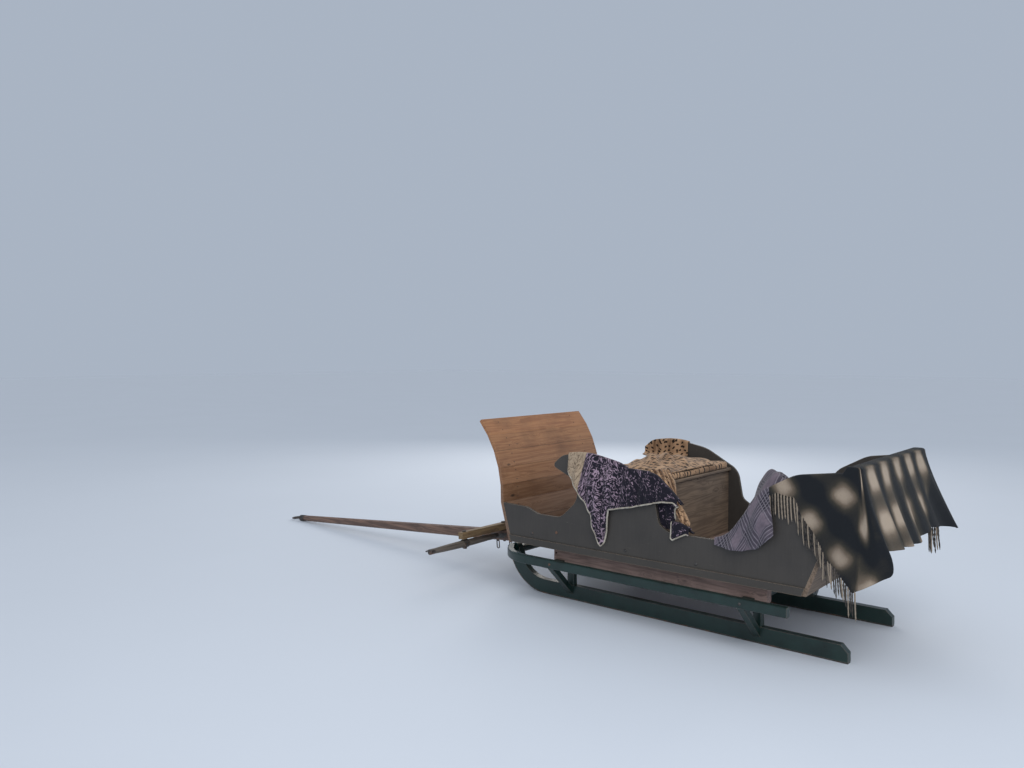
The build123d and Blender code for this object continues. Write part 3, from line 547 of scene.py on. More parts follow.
def board_shift(tree, cuts, axis):
    """A factor that jumps from board to board: constant steps at the cuts along an axis."""
    places, share = share_along(tree, cuts, axis)
    node = add_node(tree, "ShaderNodeValToRGB", Fac=share)
    node.color_ramp.interpolation = "CONSTANT"
    levels = np.random.default_rng(4).permutation(np.linspace(0.0, 1.0, len(cuts) - 1))
    elements = node.color_ramp.elements
    while len(elements) < len(cuts) - 1:
        elements.new(0.5)
    for element, place, level in zip(elements, places, levels):
        element.position = place
        element.color = colour(grey(float(level)))
    return node.outputs["Color"]


def board_seams(tree, cuts, axis, half=0.0016):
    """A factor that is dark on each inner cut and white elsewhere."""
    places, share = share_along(tree, cuts, axis)
    width = half / (cuts[-1] - cuts[0])
    stops = []
    for centre in places[1:-1]:
        stops += [(centre - width, grey(1.0)), (centre, grey(0.12)), (centre + width, grey(1.0))]
    return ramp(tree, share, stops)


def timber(name, light, dark, axis, roughness, knots, figure=1.6, boards=None, board_axis="Z",
           seams=False, foot=None, wear=0.35, coat=0.0):
    """Wood along one axis, board by board where cuts are given, with dark seams between the boards
    if asked, darkened towards its foot by painted shade where a foot tint is given, greyed and rubbed on its
    edges."""
    material, tree, shader = new_finish(name, roughness)
    base, fibres = wood_colour(tree, light, dark, shaded(dark, 0.16), axis, knots, figure)
    space = texture_space(tree)
    if boards is not None:
        step = board_shift(tree, boards, board_axis)
        tint = ramp(tree, step, [(0.0, (0.86, 0.84, 0.82)), (0.5, grey(1.0)), (1.0, (1.10, 1.06, 1.01))])
        base = blend_colour(tree, 1.0, base, tint, "MULTIPLY")
        if seams:
            base = blend_colour(tree, 1.0, base, board_seams(tree, boards, board_axis), "MULTIPLY")
    # Painted shade: the boards grow darker towards their foot, as if shade falls there.
    if foot is not None:
        height = add_node(tree, "ShaderNodeSeparateXYZ", Vector=space).outputs["Z"]
        share = spread_over(tree, height, boards[0], boards[-1])
        tint = ramp(tree, share, [(0.15, foot), (0.80, grey(1.0))])
        base = blend_colour(tree, 1.0, base, tint, "MULTIPLY")
    grime = noise(tree, space, 3.0, 6.0, 0.65)
    grime = spread_over(tree, grime, 0.48, 0.72, 0.0, 0.45)
    base = blend_colour(tree, grime, base, shaded(dark, 0.34))
    rubbed = times(tree, sharp_edges(tree, 0.004, 2.4), noise(tree, space, 30.0, 4.0, 0.7))
    rubbed = spread_over(tree, rubbed, 0.10, 0.28, 0.0, wear)
    base = blend_colour(tree, rubbed, base, tuple(min(1.0, 1.35 * c + 0.04) for c in light))
    tree.links.new(base, shader.inputs["Base Color"])
    rough = spread_over(tree, fibres, 0.0, 1.0, roughness - 0.1, roughness + 0.14)
    tree.links.new(rough, shader.inputs["Roughness"])
    if coat:
        shader.inputs["Coat Weight"].default_value = coat
        shader.inputs["Coat Roughness"].default_value = 0.28
    bump(tree, shader, fibres, 0.22, 0.0015)
    return material


def cloth_base(name, roughness, sheen):
    """An empty cloth: rough, with a soft sheen."""
    material, tree, shader = new_finish(name, roughness)
    shader.inputs["Sheen Weight"].default_value = sheen
    shader.inputs["Sheen Roughness"].default_value = 0.5
    shader.inputs["Specular IOR Level"].default_value = 0.25
    return material, tree, shader


def soft_wave(tree, value, period, sharp):
    """A wave from 0 to 1 of the given period: the smaller sharp is, the steeper its shoulders."""
    wave = arithmetic(tree, "SINE", times(tree, value, 2 * math.pi / period))
    return spread_over(tree, wave, -sharp, sharp, smooth=True)


def cloth_axes(tree, turn, wobble, source="UV"):
    """The cloth's own two directions in metres, turned, and wavering by a little noise."""
    vector = texture_space(tree, rotation=(0, 0, turn), source=source)
    waver = add_node(tree, "ShaderNodeTexNoise", Vector=vector, Scale=9.0, Detail=3.0).outputs["Color"]
    centred = add_node(tree, "ShaderNodeVectorMath", {"operation": "SUBTRACT"}, in0=waver, in1=grey(0.5))
    scaled = add_node(tree, "ShaderNodeVectorMath", {"operation": "SCALE"}, in0=centred.outputs[0])
    scaled.inputs["Scale"].default_value = wobble
    vector = add_node(
        tree, "ShaderNodeVectorMath", {"operation": "ADD"}, in0=vector, in1=scaled.outputs[0]
    ).outputs[0]
    parts = add_node(tree, "ShaderNodeSeparateXYZ", Vector=vector)
    return vector, parts.outputs["X"], parts.outputs["Y"]


def weave_height(tree, along, across):
    """A twill's ridges: waves across the diagonal, broken by waves along it."""
    diagonal = arithmetic(tree, "SINE", times(tree, plus(tree, along, across), 2 * math.pi / TWILL))
    steps = arithmetic(tree, "SINE", times(tree, minus(tree, along, across), 4 * math.pi / TWILL))
    return plus(tree, diagonal, times(tree, steps, 0.4))


def plaid_wool():
    """Brushed wool with blurred checks: cream where both light bands cross, charcoal where both dark
    do. Behind, the upright bands are broader and run on between the checks, up to a dark end band."""
    cloths = bpy.context.scene.sleigh_cloths
    material, tree, shader = cloth_base("plaid_wool", 0.95, 0.06)
    vector, along, across = cloth_axes(tree, 0.0, 0.035)
    first = soft_wave(tree, along, cloths.plaid_period, 1.15)
    second = soft_wave(tree, across, cloths.plaid_period, 1.15)
    both = times(tree, first, second)
    tone = plus(tree, times(tree, both, 0.60), times(tree, first, 0.26))
    tone = plus(tree, tone, times(tree, second, 0.10))
    place = coordinates_of(tree)
    behind = spread_over(tree, place["X"], RAIL_LOW.x - 0.004, RAIL_LOW.x + 0.012, 1.0, 0.0)
    end = spread_over(tree, plus(tree, place["Y"], place["Z"]), 0.40, 0.50, smooth=True)
    broad = arithmetic(tree, "POWER", soft_wave(tree, along, cloths.plaid_period, 1.0), 0.5)
    high = arithmetic(tree, "POWER", soft_wave(tree, across, cloths.plaid_period, 1.2), 0.75)
    rear = times(tree, broad, plus(tree, times(tree, high, 0.56), 0.42))
    rear = times(tree, plus(tree, rear, 0.08), end)
    tone = add_node(tree, "ShaderNodeMix", in0=behind, in2=tone, in3=rear).outputs[0]
    fuzz = noise(tree, vector, 130.0, 5.0, 0.8)
    tone = plus(tree, tone, times(tree, minus(tree, fuzz, 0.5), 0.22))
    base = ramp(tree, tone, [
        (0.14, cloths.plaid_dark), (0.44, cloths.plaid_middle),
        (0.72, cloths.plaid_warm), (1.0, cloths.plaid_light),
    ])
    fibre = noise(tree, texture_space(tree, (1.0, 5.0, 1.0), source="UV"), 420.0, 3.0, 0.7)
    nap = ramp(tree, fibre, [(0.3, grey(0.25)), (0.7, grey(1.0))])
    base = blend_colour(tree, 0.35, base, nap, "MULTIPLY")
    tree.links.new(base, shader.inputs["Base Color"])
    height = plus(tree, weave_height(tree, along, across), times(tree, fuzz, 3.0))
    bump(tree, shader, height, 0.5, 0.0016)
    return material


def print_fleece_cloth():
    """Fleece printed with lilac flecks on black; painted shade fades the flecks out to black behind. Its
    front corner is turned over and shows the pale reverse."""
    cloths = bpy.context.scene.sleigh_cloths
    material, tree, shader = cloth_base("print_fleece", 0.95, 0.08)
    vector = cloth_axes(tree, 0.0, 0.02)[0]
    curl = add_node(
        tree, "ShaderNodeTexNoise", Vector=vector, Scale=26.0, Detail=1.5, Roughness=0.5, Distortion=3.2
    ).outputs["Fac"]
    fleck = noise(tree, vector, 60.0, 3.0, 0.6, 1.2)
    broad = noise(tree, vector, 5.0, 3.0, 0.5)
    mixed = plus(tree, times(tree, curl, 0.78), times(tree, fleck, 0.22))
    threshold = spread_over(tree, broad, 0.36, 0.64, 0.03, -0.03)
    place = coordinates_of(tree)
    # Painted shade: the flecks thin out towards the rear and the fleece goes black there, as if in shade.
    behind = spread_over(tree, place["X"], station(1.0), station(1.22), 0.09, 0.0)
    value = minus(tree, mixed, plus(tree, threshold, behind))
    base = ramp(tree, value, [
        (0.44, cloths.fleece_ground), (0.49, shaded(cloths.fleece_ground, 1.6)),
        (0.52, shaded(cloths.fleck, 0.35)), (0.58, cloths.fleck),
    ])
    edge = plus(tree, place["X"], times(tree, minus(tree, broad, 0.5), 0.06))
    edge = plus(tree, edge, times(tree, place["Z"], 0.22))
    reverse = spread_over(tree, edge, station(1.612), station(1.618))
    pale = ramp(tree, fleck, [
        (0.36, (0.13, 0.095, 0.065)), (0.46, (0.30, 0.23, 0.165)), (0.62, (0.42, 0.33, 0.24)),
    ])
    tree.links.new(blend_colour(tree, reverse, base, pale), shader.inputs["Base Color"])
    bump(tree, shader, plus(tree, fleck, noise(tree, vector, 300.0, 3.0, 0.7)), 0.6, 0.002)
    return material


def leopard_cloth(source="UV", painted_fold_streaks=False):
    """Plush with brown and black spots on tan, drawn out into rows, with painted highlights and painted
    shade in long stripes for its folds; for a rope of folds, darker stripes of painted shade run along it."""
    cloths = bpy.context.scene.sleigh_cloths
    material, tree, shader = cloth_base("leopard_plush", 0.95, 0.12)
    vector = cloth_axes(tree, 0.35, 0.035, source)[0]
    stretched = add_node(tree, "ShaderNodeMapping", Vector=vector)
    stretched.inputs["Scale"].default_value = (25.0, 38.0, 30.0)
    cells = add_node(
        tree, "ShaderNodeTexVoronoi", {"feature": "F1", "voronoi_dimensions": "2D"},
        Vector=stretched.outputs[0], Scale=1.0, Randomness=0.8,
    ).outputs["Distance"]
    ragged = plus(tree, cells, times(tree, noise(tree, vector, 120.0, 3.0, 0.7), 0.30))
    black, brown = (0.012, 0.009, 0.008), (0.06, 0.034, 0.020)
    spot = ramp(tree, ragged, [(0.33, black), (0.40, brown), (0.46, cloths.leopard_ground)])
    # Painted highlights and painted shade: long stripes of noise lighten and darken the plush as its folds
    # would be lit.
    shade = noise(tree, texture_space(tree, (16.0, 2.2, 2.2), source=source), 1.0, 4.0, 0.6)
    if painted_fold_streaks:
        # Painted shade along the rope: darker stripes run along its folds.
        shade = noise(tree, texture_space(tree, (3.5, 42.0, 1.0), source=source), 1.0, 3.0, 0.6)
        shade = spread_over(tree, shade, 0.44, 0.58, 0.30, 0.62)
        patches = noise(tree, vector, 70.0, 3.0, 0.6)
        spot = ramp(tree, patches, [(0.36, brown), (0.50, cloths.leopard_ground)])
    # The spots are multiplied by these painted highlights and this painted shade.
    painted_fold_light = ramp(tree, shade, [
        (0.34, (0.34, 0.28, 0.24)), (0.46, (0.80, 0.76, 0.72)), (0.62, (1.10, 1.06, 1.0)),
    ])
    base = blend_colour(tree, 1.0, spot, painted_fold_light, "MULTIPLY")
    tree.links.new(base, shader.inputs["Base Color"])
    bump(tree, shader, noise(tree, vector, 260.0, 4.0, 0.75), 0.7, 0.002)
    return material


def grey_check_cloth():
    """Soft grey-mauve fleece crossed by broad dark bands, each filled with thin pale lines."""
    cloths = bpy.context.scene.sleigh_cloths
    material, tree, shader = cloth_base("grey_check_fleece", 0.95, 0.18)
    vector, along, across = cloth_axes(tree, 0.42, 0.006)
    bands, lines = [], []
    for value in (along, across):
        bands.append(soft_wave(tree, value, 0.165, 0.30))
        thin = arithmetic(tree, "POWER", soft_wave(tree, value, 0.0184, 1.0), 13.0)
        lines.append(times(tree, thin, bands[-1]))
    dark = times(tree, plus(tree, *bands), 0.5)
    pale = arithmetic(tree, "MAXIMUM", *lines)
    nap = noise(tree, vector, 60.0, 5.0, 0.75)
    dark = plus(tree, dark, minus(tree, noise(tree, vector, 14.0, 3.0, 0.6), 0.5))
    base = ramp(tree, dark, [(0.0, cloths.check_light), (0.5, cloths.check_middle), (1.0, cloths.check_dark)])
    base = blend_colour(tree, times(tree, pale, 0.36), base, (0.50, 0.46, 0.53))
    base = blend_colour(tree, 0.45, base, ramp(tree, nap, [(0.32, grey(0.3)), (0.68, grey(1.0))]), "MULTIPLY")
    tree.links.new(base, shader.inputs["Base Color"])
    bump(tree, shader, plus(tree, nap, noise(tree, vector, 240.0, 3.0, 0.7)), 0.6, 0.002)
    return material


def bench_cloth():
    """Dark woven bench cloth, paler in patches."""
    material, tree, shader = cloth_base("bench_cloth", 0.9, 0.1)
    space = texture_space(tree)
    shade = noise(tree, space, 9.0, 5.0, 0.6)
    threads = [
        add_node(
            tree, "ShaderNodeTexWave", {"bands_direction": way},
            Vector=space, Scale=130.0, Distortion=1.0, Detail=2.0,
        ).outputs["Fac"]
        for way in ("X", "Y")
    ]
    weave = times(tree, *threads)
    base = ramp(tree, shade, [(0.3, (0.030, 0.024, 0.022)), (0.7, (0.085, 0.068, 0.060))])
    base = blend_colour(tree, 0.4, base, ramp(tree, weave, [(0.1, grey(0.45)), (0.6, grey(1.0))]), "MULTIPLY")
    tree.links.new(base, shader.inputs["Base Color"])
    bump(tree, shader, weave, 0.5, 0.001)
    return material


def twisted_yarn(name, light, dark, by_strand=False):
    """Piping and fringe yarn: mottled by noise along the strand; by_strand takes each strand's yarn,
    the light one or the dark, from its U."""
    material, tree, shader = cloth_base(name, 0.9, 0.1)
    space = texture_space(tree)
    twist = noise(tree, space, 150.0, 3.0, 0.6)
    broad = noise(tree, space, 30.0, 3.0, 0.6)
    mottled = plus(tree, times(tree, broad, 0.7), times(tree, twist, 0.3))
    base = ramp(tree, mottled, [(0.40, dark), (0.58, light)])
    if by_strand:
        yarn = texture_space(tree, source="UV")
        yarn = add_node(tree, "ShaderNodeSeparateXYZ", Vector=yarn).outputs["X"]
        base = blend_colour(tree, 0.75, base, ramp(tree, yarn, [(0.46, dark), (0.54, light)]))
    tree.links.new(base, shader.inputs["Base Color"])
    bump(tree, shader, twist, 0.6, 0.001)
    return material


# Sizes and colours that a user would change


class SleighPaints(bpy.types.PropertyGroup):
    """Paint and iron colours."""

    green: FloatVectorProperty(
        name="Running gear", description="Paint of the runners, rails, posts and struts",
        subtype="COLOR", size=3, min=0.0, max=1.0, default=(0.008, 0.026, 0.023),
    )
    olive: FloatVectorProperty(
        name="Body", description="Paint of the side panels and their sill strips",
        subtype="COLOR", size=3, min=0.0, max=1.0, default=(0.046, 0.041, 0.037),
    )
    iron: FloatVectorProperty(
        name="Iron", description="Colour of the forged iron under its rust",
        subtype="COLOR", size=3, min=0.0, max=1.0, default=(0.085, 0.080, 0.076),
    )
    wear: FloatProperty(
        name="Wear", description="How far paint is chipped and scraped away",
        subtype="FACTOR", min=0.0, max=1.0, default=0.85,
    )


class SleighTimbers(bpy.types.PropertyGroup):
    """Colours of the woods: the light and the dark of each one's figure."""

    pine_light: FloatVectorProperty(
        name="Dash, light", description="Light figure of the varnished dash boards",
        subtype="COLOR", size=3, min=0.0, max=1.0, default=(0.36, 0.175, 0.075),
    )
    pine_dark: FloatVectorProperty(
        name="Dash, dark", description="Dark figure of the varnished dash boards",
        subtype="COLOR", size=3, min=0.0, max=1.0, default=(0.24, 0.10, 0.038),
    )
    plank_light: FloatVectorProperty(
        name="Bare plank, light", description="Light figure of the bearers and floor boards",
        subtype="COLOR", size=3, min=0.0, max=1.0, default=(0.31, 0.215, 0.19),
    )
    plank_dark: FloatVectorProperty(
        name="Bare plank, dark", description="Dark figure of the bearers and floor boards",
        subtype="COLOR", size=3, min=0.0, max=1.0, default=(0.165, 0.115, 0.10),
    )
    board_light: FloatVectorProperty(
        name="Boards, light", description="Light figure of the benches, the back and its rail",
        subtype="COLOR", size=3, min=0.0, max=1.0, default=(0.22, 0.16, 0.115),
    )
    board_dark: FloatVectorProperty(
        name="Boards, dark", description="Dark figure of the benches, the back and its rail",
        subtype="COLOR", size=3, min=0.0, max=1.0, default=(0.11, 0.078, 0.056),
    )
    pole_light: FloatVectorProperty(
        name="Pole, light", description="Light figure of the pole",
        subtype="COLOR", size=3, min=0.0, max=1.0, default=(0.24, 0.145, 0.105),
    )
    pole_dark: FloatVectorProperty(
        name="Pole, dark", description="Dark figure of the pole",
        subtype="COLOR", size=3, min=0.0, max=1.0, default=(0.085, 0.052, 0.042),
    )


class SleighCloths(bpy.types.PropertyGroup):
    """Sizes and colours of the blankets and pads."""

    wool_thickness: FloatProperty(
        name="Wool", description="Thickness of the plaid throw",
        subtype="DISTANCE", unit="LENGTH", min=0.001, max=0.008, default=0.004,
    )
    fleece_thickness: FloatProperty(
        name="Fleece", description="Thickness of the fleeces and the plush",
        subtype="DISTANCE", unit="LENGTH", min=0.001, max=0.010, default=0.006,
    )
    fold_depth: FloatProperty(
        name="Fold depth", description="How far the throw's folds stand out at its hem",
        subtype="DISTANCE", unit="LENGTH", min=0.0, max=0.08, default=0.046,
    )
    fringe_length: FloatProperty(
        name="Fringe", description="Length of the throw's twisted fringe",
        subtype="DISTANCE", unit="LENGTH", min=0.02, max=0.20, default=0.140,
    )
    fringe_spacing: FloatProperty(
        name="Fringe spacing", description="From one strand of the fringe to the next",
        subtype="DISTANCE", unit="LENGTH", min=0.006, max=0.04, default=0.0175,
    )
    plaid_period: FloatProperty(
        name="Plaid", description="From one light band of the plaid to the next",
        subtype="DISTANCE", unit="LENGTH", min=0.05, max=0.6, default=0.225,
    )
    plaid_dark: FloatVectorProperty(
        name="Plaid, dark", description="Where two dark bands cross",
        subtype="COLOR", size=3, min=0.0, max=1.0, default=(0.012, 0.015, 0.020),
    )
    plaid_middle: FloatVectorProperty(
        name="Plaid, middle", description="Where a dark band meets a light one",
        subtype="COLOR", size=3, min=0.0, max=1.0, default=(0.052, 0.047, 0.038),
    )
    plaid_warm: FloatVectorProperty(
        name="Plaid, warm", description="Rim of the light patches",
        subtype="COLOR", size=3, min=0.0, max=1.0, default=(0.185, 0.145, 0.11),
    )
    plaid_light: FloatVectorProperty(
        name="Plaid, light", description="Where two light bands cross",
        subtype="COLOR", size=3, min=0.0, max=1.0, default=(0.50, 0.41, 0.325),
    )
    fleece_ground: FloatVectorProperty(
        name="Fleece ground", description="Dark ground of the printed fleece",
        subtype="COLOR", size=3, min=0.0, max=1.0, default=(0.010, 0.009, 0.017),
    )
    fleck: FloatVectorProperty(
        name="Fleece flecks", description="Light flecks of the printed fleece",
        subtype="COLOR", size=3, min=0.0, max=1.0, default=(0.33, 0.245, 0.32),
    )
    leopard_ground: FloatVectorProperty(
        name="Plush ground", description="Ground of the spotted plush",
        subtype="COLOR", size=3, min=0.0, max=1.0, default=(0.40, 0.265, 0.17),
    )
    check_light: FloatVectorProperty(
        name="Robe, light", description="Light squares of the lap robe",
        subtype="COLOR", size=3, min=0.0, max=1.0, default=(0.180, 0.148, 0.186),
    )
    check_middle: FloatVectorProperty(
        name="Robe, middle", description="Single bands of the lap robe",
        subtype="COLOR", size=3, min=0.0, max=1.0, default=(0.078, 0.067, 0.092),
    )
    check_dark: FloatVectorProperty(
        name="Robe, dark", description="Where two bands of the lap robe cross",
        subtype="COLOR", size=3, min=0.0, max=1.0, default=(0.030, 0.027, 0.042),
    )


class SleighStudio(bpy.types.PropertyGroup):
    """Floor and lamps of the studio."""

    floor: FloatVectorProperty(
        name="Floor", description="Colour of the studio floor",
        subtype="COLOR", size=3, min=0.0, max=1.0, default=(0.62, 0.68, 0.78),
    )
    floor_reach: FloatProperty(
        name="Floor reach", description="Half the side of the square floor",
        subtype="DISTANCE", unit="LENGTH", min=5.0, max=200.0, default=60.0,
    )
    key: FloatProperty(
        name="Key lamp", description="Power of the large lamp above and behind the camera",
        subtype="POWER", unit="POWER", min=0.0, max=5000.0, default=300.0,
    )
    rim: FloatProperty(
        name="Rim lamp", description="Power of the warm lamp beyond the sleigh",
        subtype="POWER", unit="POWER", min=0.0, max=5000.0, default=150.0,
    )
    sky: FloatProperty(
        name="Sky", description="Strength of the plain light all round",
        subtype="FACTOR", min=0.0, max=2.0, default=0.70,
    )


def curve_through(keys, count):
    """Catmull-Rom curve through rows of keys, sampled at count even parameters."""
    keys = np.asarray(keys, dtype=float)
    padded = np.concatenate([2 * keys[:1] - keys[1:2], keys, 2 * keys[-1:] - keys[-2:-1]])
    place = np.linspace(0, len(keys) - 1, count)
    first = np.minimum(place.astype(int), len(keys) - 2)
    t = (place - first)[:, None]
    a, b, c, d = (padded[first + i] for i in range(4))
    return 0.5 * (2 * b + (c - a) * t + (2 * a - 5 * b + 4 * c - d) * t**2 + (3 * b - 3 * c + d - a) * t**3)


def over_top(inner, outer, top, drop, count):
    """Half a squarish ellipse over an edge, from inner to outer (x, y): top is its highest, and it
    rises by drop."""
    angle = np.linspace(0, np.pi, count)[:, None]
    swing = -np.sign(np.cos(angle)) * np.abs(np.cos(angle)) ** 0.5
    lift = np.abs(np.sin(angle)) ** 0.5
    middle = (inner + outer) / 2
    flat = middle[None] + swing[..., None] * ((outer - inner) / 2)[None]
    height = top[None] - drop + lift * drop
    return np.concatenate([flat, height[..., None]], axis=-1)


def arc_uv(grid, along):
    """UV of a grid in metres: along for the columns, the run down each column for the rows."""
    down = np.linalg.norm(np.diff(grid, axis=0), axis=-1)
    down = np.concatenate([np.zeros((1, grid.shape[1])), np.cumsum(down, axis=0)])
    return np.stack([np.broadcast_to(along, down.shape), down], axis=-1)


def squared(values):
    """Square root that keeps the sign: turns a quarter circle into a squarish corner."""
    return np.sign(values) * np.sqrt(np.abs(values))


def throw_grid(cloths):
    """The throw: a skirt hung from one line that runs along the back rail, round the corner and
    along the left wing. Each column goes up the inside, over the top and down the outside. Behind,
    it flares and folds more the lower it hangs; in plan its corner is a squarish quarter ellipse."""
    behind, ahead = RAIL_LOW.x - CLEAR, RAIL_HIGH.x + CLEAR
    inside, outside = PANEL_INNER - CLEAR, BODY_HALF + CLEAR
    corner = 0.014
    rail_y = np.linspace(-BODY_HALF, outside - corner, 124)
    turn = np.linspace(np.pi, np.pi / 2, 46)[1:-1]
    wing_x = np.linspace(behind + corner, station(0.250), 84)
    outer = np.concatenate([
        np.stack([np.full_like(rail_y, behind), rail_y], axis=-1),
        np.stack([behind + corner * (1 + np.cos(turn)), outside - corner * (1 - np.sin(turn))], axis=-1),
        np.stack([wing_x, np.full_like(wing_x, outside)], axis=-1),
    ])
    facing = np.concatenate([
        np.tile([-1.0, 0.0], (len(rail_y), 1)),
        squared(np.stack([np.cos(turn), np.sin(turn)], axis=-1)),
        np.tile([0.0, 1.0], (len(wing_x), 1)),
    ])
    inner = np.stack([np.maximum(outer[:, 0], ahead), np.minimum(outer[:, 1], inside)], axis=-1)
    spread = outer + facing * (0.14, 0.02)
    along = run_lengths(spread)
    turned = len(rail_y), len(rail_y) + len(turn)
    rail_top = RAIL_HIGH.z + CLEAR
    past = np.maximum(outer[:, 0] - ahead, 0.0)
    top = np.maximum(rest_height(outer[:, 0]) + CLEAR, rail_top - 1.6 * past)
    top[: turned[1]] = rail_top

    side_hem = through_keys(spread[:, 0], WING_HEM)
    rear_hem = np.interp(outer[:, 1], *np.transpose(REAR_HEM))
    at_side = ease(outside - 0.010, outside + 0.014, spread[:, 1])
    hem = rear_hem + (side_hem - rear_hem) * at_side
    shoulder = top - RAIL_CROWN
    hem = np.minimum(hem, shoulder - 0.03)

    rise = np.linspace(0, 1, 22)[:, None]
    inner_low = np.interp(outer[:, 1], [-PANEL_INNER, -PANEL_INNER + 0.09], [RAIL_LOW.z + 0.01, 0.832])
    inner_low = np.minimum(inner_low, shoulder - 0.008)
    height = inner_low + (shoulder - inner_low) * rise
    board = BODY_REAR - (height - BODY_BOTTOM) * BACK_LEAN + 0.006
    inside_part = np.stack(
        [np.maximum(inner[None, :, 0], board), np.broadcast_to(inner[:, 1], height.shape), height], axis=-1
    )
    over = over_top(inner, outer, top, RAIL_CROWN, 15)[1:-1]

    share = np.linspace(0, 1, 66)[:, None] ** 0.9
    down = share * (shoulder - hem)
    drop = down / 0.4
    back_fold = folds(along, down, [(0.185, 1.0, 0.06), (0.30, 0.6, -0.10), (0.10, 0.15, 0.12)], 7)
    side_fold = folds(along, down, [(0.25, 1.0, 0.35), (0.13, 0.45, -0.2)], 3)
    flare = 0.110 + 0.055 * ease(-0.30, -0.60, outer[:, 1])
    out = np.stack([
        0.001 + flare * drop**1.25 + cloths.fold_depth * back_fold * drop**0.75,
        0.001 + 0.006 * drop + 0.026 * side_fold * np.minimum(drop, 1.0) ** 0.75,
    ], axis=-1)
    sway = 0.012 * np.sin(2 * np.pi * along / 0.27 + 1.0) * drop * (1 - at_side)
    flat = outer[None] + out * facing[None]
    flat[..., 1] += sway
    skirt = np.concatenate([flat, (shoulder - down)[..., None]], axis=-1)

    grid = np.concatenate([inside_part, over, skirt])
    outward = np.zeros_like(grid)
    lean = np.linspace(-1, 1, len(grid))[:, None, None]
    outward[..., :2] = facing[None] * np.clip(3 * lean, -1, 1)
    outward[..., 2] = 0.4
    uv = arc_uv(grid, along)
    # The plaid is laid out by a light patch behind and one on the wing, where it is turned, and the
    # two are blended over the corner.
    quarter = cloths.plaid_period / 4
    lip = len(inside_part) + len(over)
    down = uv[..., 1] - uv[lip, :, 1] - grid[lip, :, 2]
    run = np.broadcast_to(spread[:, 1] - REAR_PLAID[0], down.shape)
    behind_uv = np.stack([run, down + REAR_PLAID[1]], axis=-1)
    run = np.broadcast_to(spread[:, 0] - station(WING_PLAID[0]), down.shape)
    fall = down + WING_PLAID[1]
    cosine, sine = np.cos(WING_PLAID_TURN), np.sin(WING_PLAID_TURN)
    wing_uv = np.stack([run * cosine + fall * sine, -run * sine + fall * cosine], axis=-1)
    middle = (along[turned[0]] + along[turned[1]]) / 2
    blend = ease(middle - 0.04, middle + 0.04, along)[None, :, None]
    return grid, outward, behind_uv + (wing_uv - behind_uv) * blend + quarter


def saddle_grid(sign, x, inner_line, inner_low, hem, rumple, bend, out_run, least=0.0, bench_x=None):
    """A blanket over one side panel. Columns stand at each X; each starts on the bench at
    inner_line, there at bench_x where that is given, climbs the panel's inner face, passes over its
    edge, or over the height least where that is more, and hangs outside to its hem. rumple is its
    height field on the bench, bend the outside fold field and out_run how far it stands out at
    the hem."""
    bench_x = x if bench_x is None else bench_x
    top = np.maximum(rest_height(x) + CLEAR, least)
    shoulder = top - PANEL_CROWN
    hem = np.minimum(hem, shoulder - 0.02)
    inner = np.stack([x, np.full_like(x, sign * (PANEL_INNER - CLEAR))], axis=-1)
    outer = np.stack([x, np.full_like(x, sign * (BODY_HALF + CLEAR))], axis=-1)
    low = np.minimum(inner_low, shoulder - 0.02)
    share = np.linspace(0, 1, 72)[:, None]
    bench_y = inner_line + (sign * (PANEL_INNER - BENCH_TURN) - inner_line) * share
    across = bench_x + (x - bench_x) * ease(0.72, 1.0, share)
    bench_z = low + rumple(across, bench_y) * np.sin(np.pi * share) ** 0.5
    bench = np.stack([across, bench_y, bench_z], axis=-1)
    corner = np.linspace(0, np.pi / 2, 8)[1:, None]
    room = np.minimum(BENCH_TURN - CLEAR, shoulder - low)
    round_y = sign * (PANEL_INNER - BENCH_TURN + (BENCH_TURN - CLEAR) * np.sin(corner)) + 0 * x
    round_z = low + room * (1 - np.cos(corner))
    rounded = np.stack([np.broadcast_to(x, round_y.shape), round_y, round_z], axis=-1)
    climb = np.linspace(0, 1, 12)[1:, None]
    climb_z = low + room + (shoulder - low - room) * climb
    climbing = np.stack([
        np.broadcast_to(x, climb_z.shape), np.broadcast_to(inner[:, 1], climb_z.shape), climb_z
    ], axis=-1)
    over = over_top(inner, outer, top, PANEL_CROWN, 13)[1:-1]
    share = np.linspace(0, 1, 46)[:, None]
    down = share * (shoulder - hem)
    out = 0.001 + (out_run * bend(x, down) + 0.006) * np.minimum(down / 0.12, 1.0) ** 1.2
    hanging = np.stack([
        np.broadcast_to(x, down.shape), outer[:, 1] + sign * out, shoulder - down
    ], axis=-1)
    grid = np.concatenate([bench, rounded, climbing, over, hanging])
    outward = np.zeros_like(grid)
    rows = len(bench) + len(rounded) + len(climbing)
    outward[:rows, :, 2] = 1.0
    outward[:rows, :, 1] = -sign * 0.5
    outward[rows:, :, 1] = sign
    outward[rows:, :, 2] = 0.3
    return grid, outward, arc_uv(grid, x - x[0])


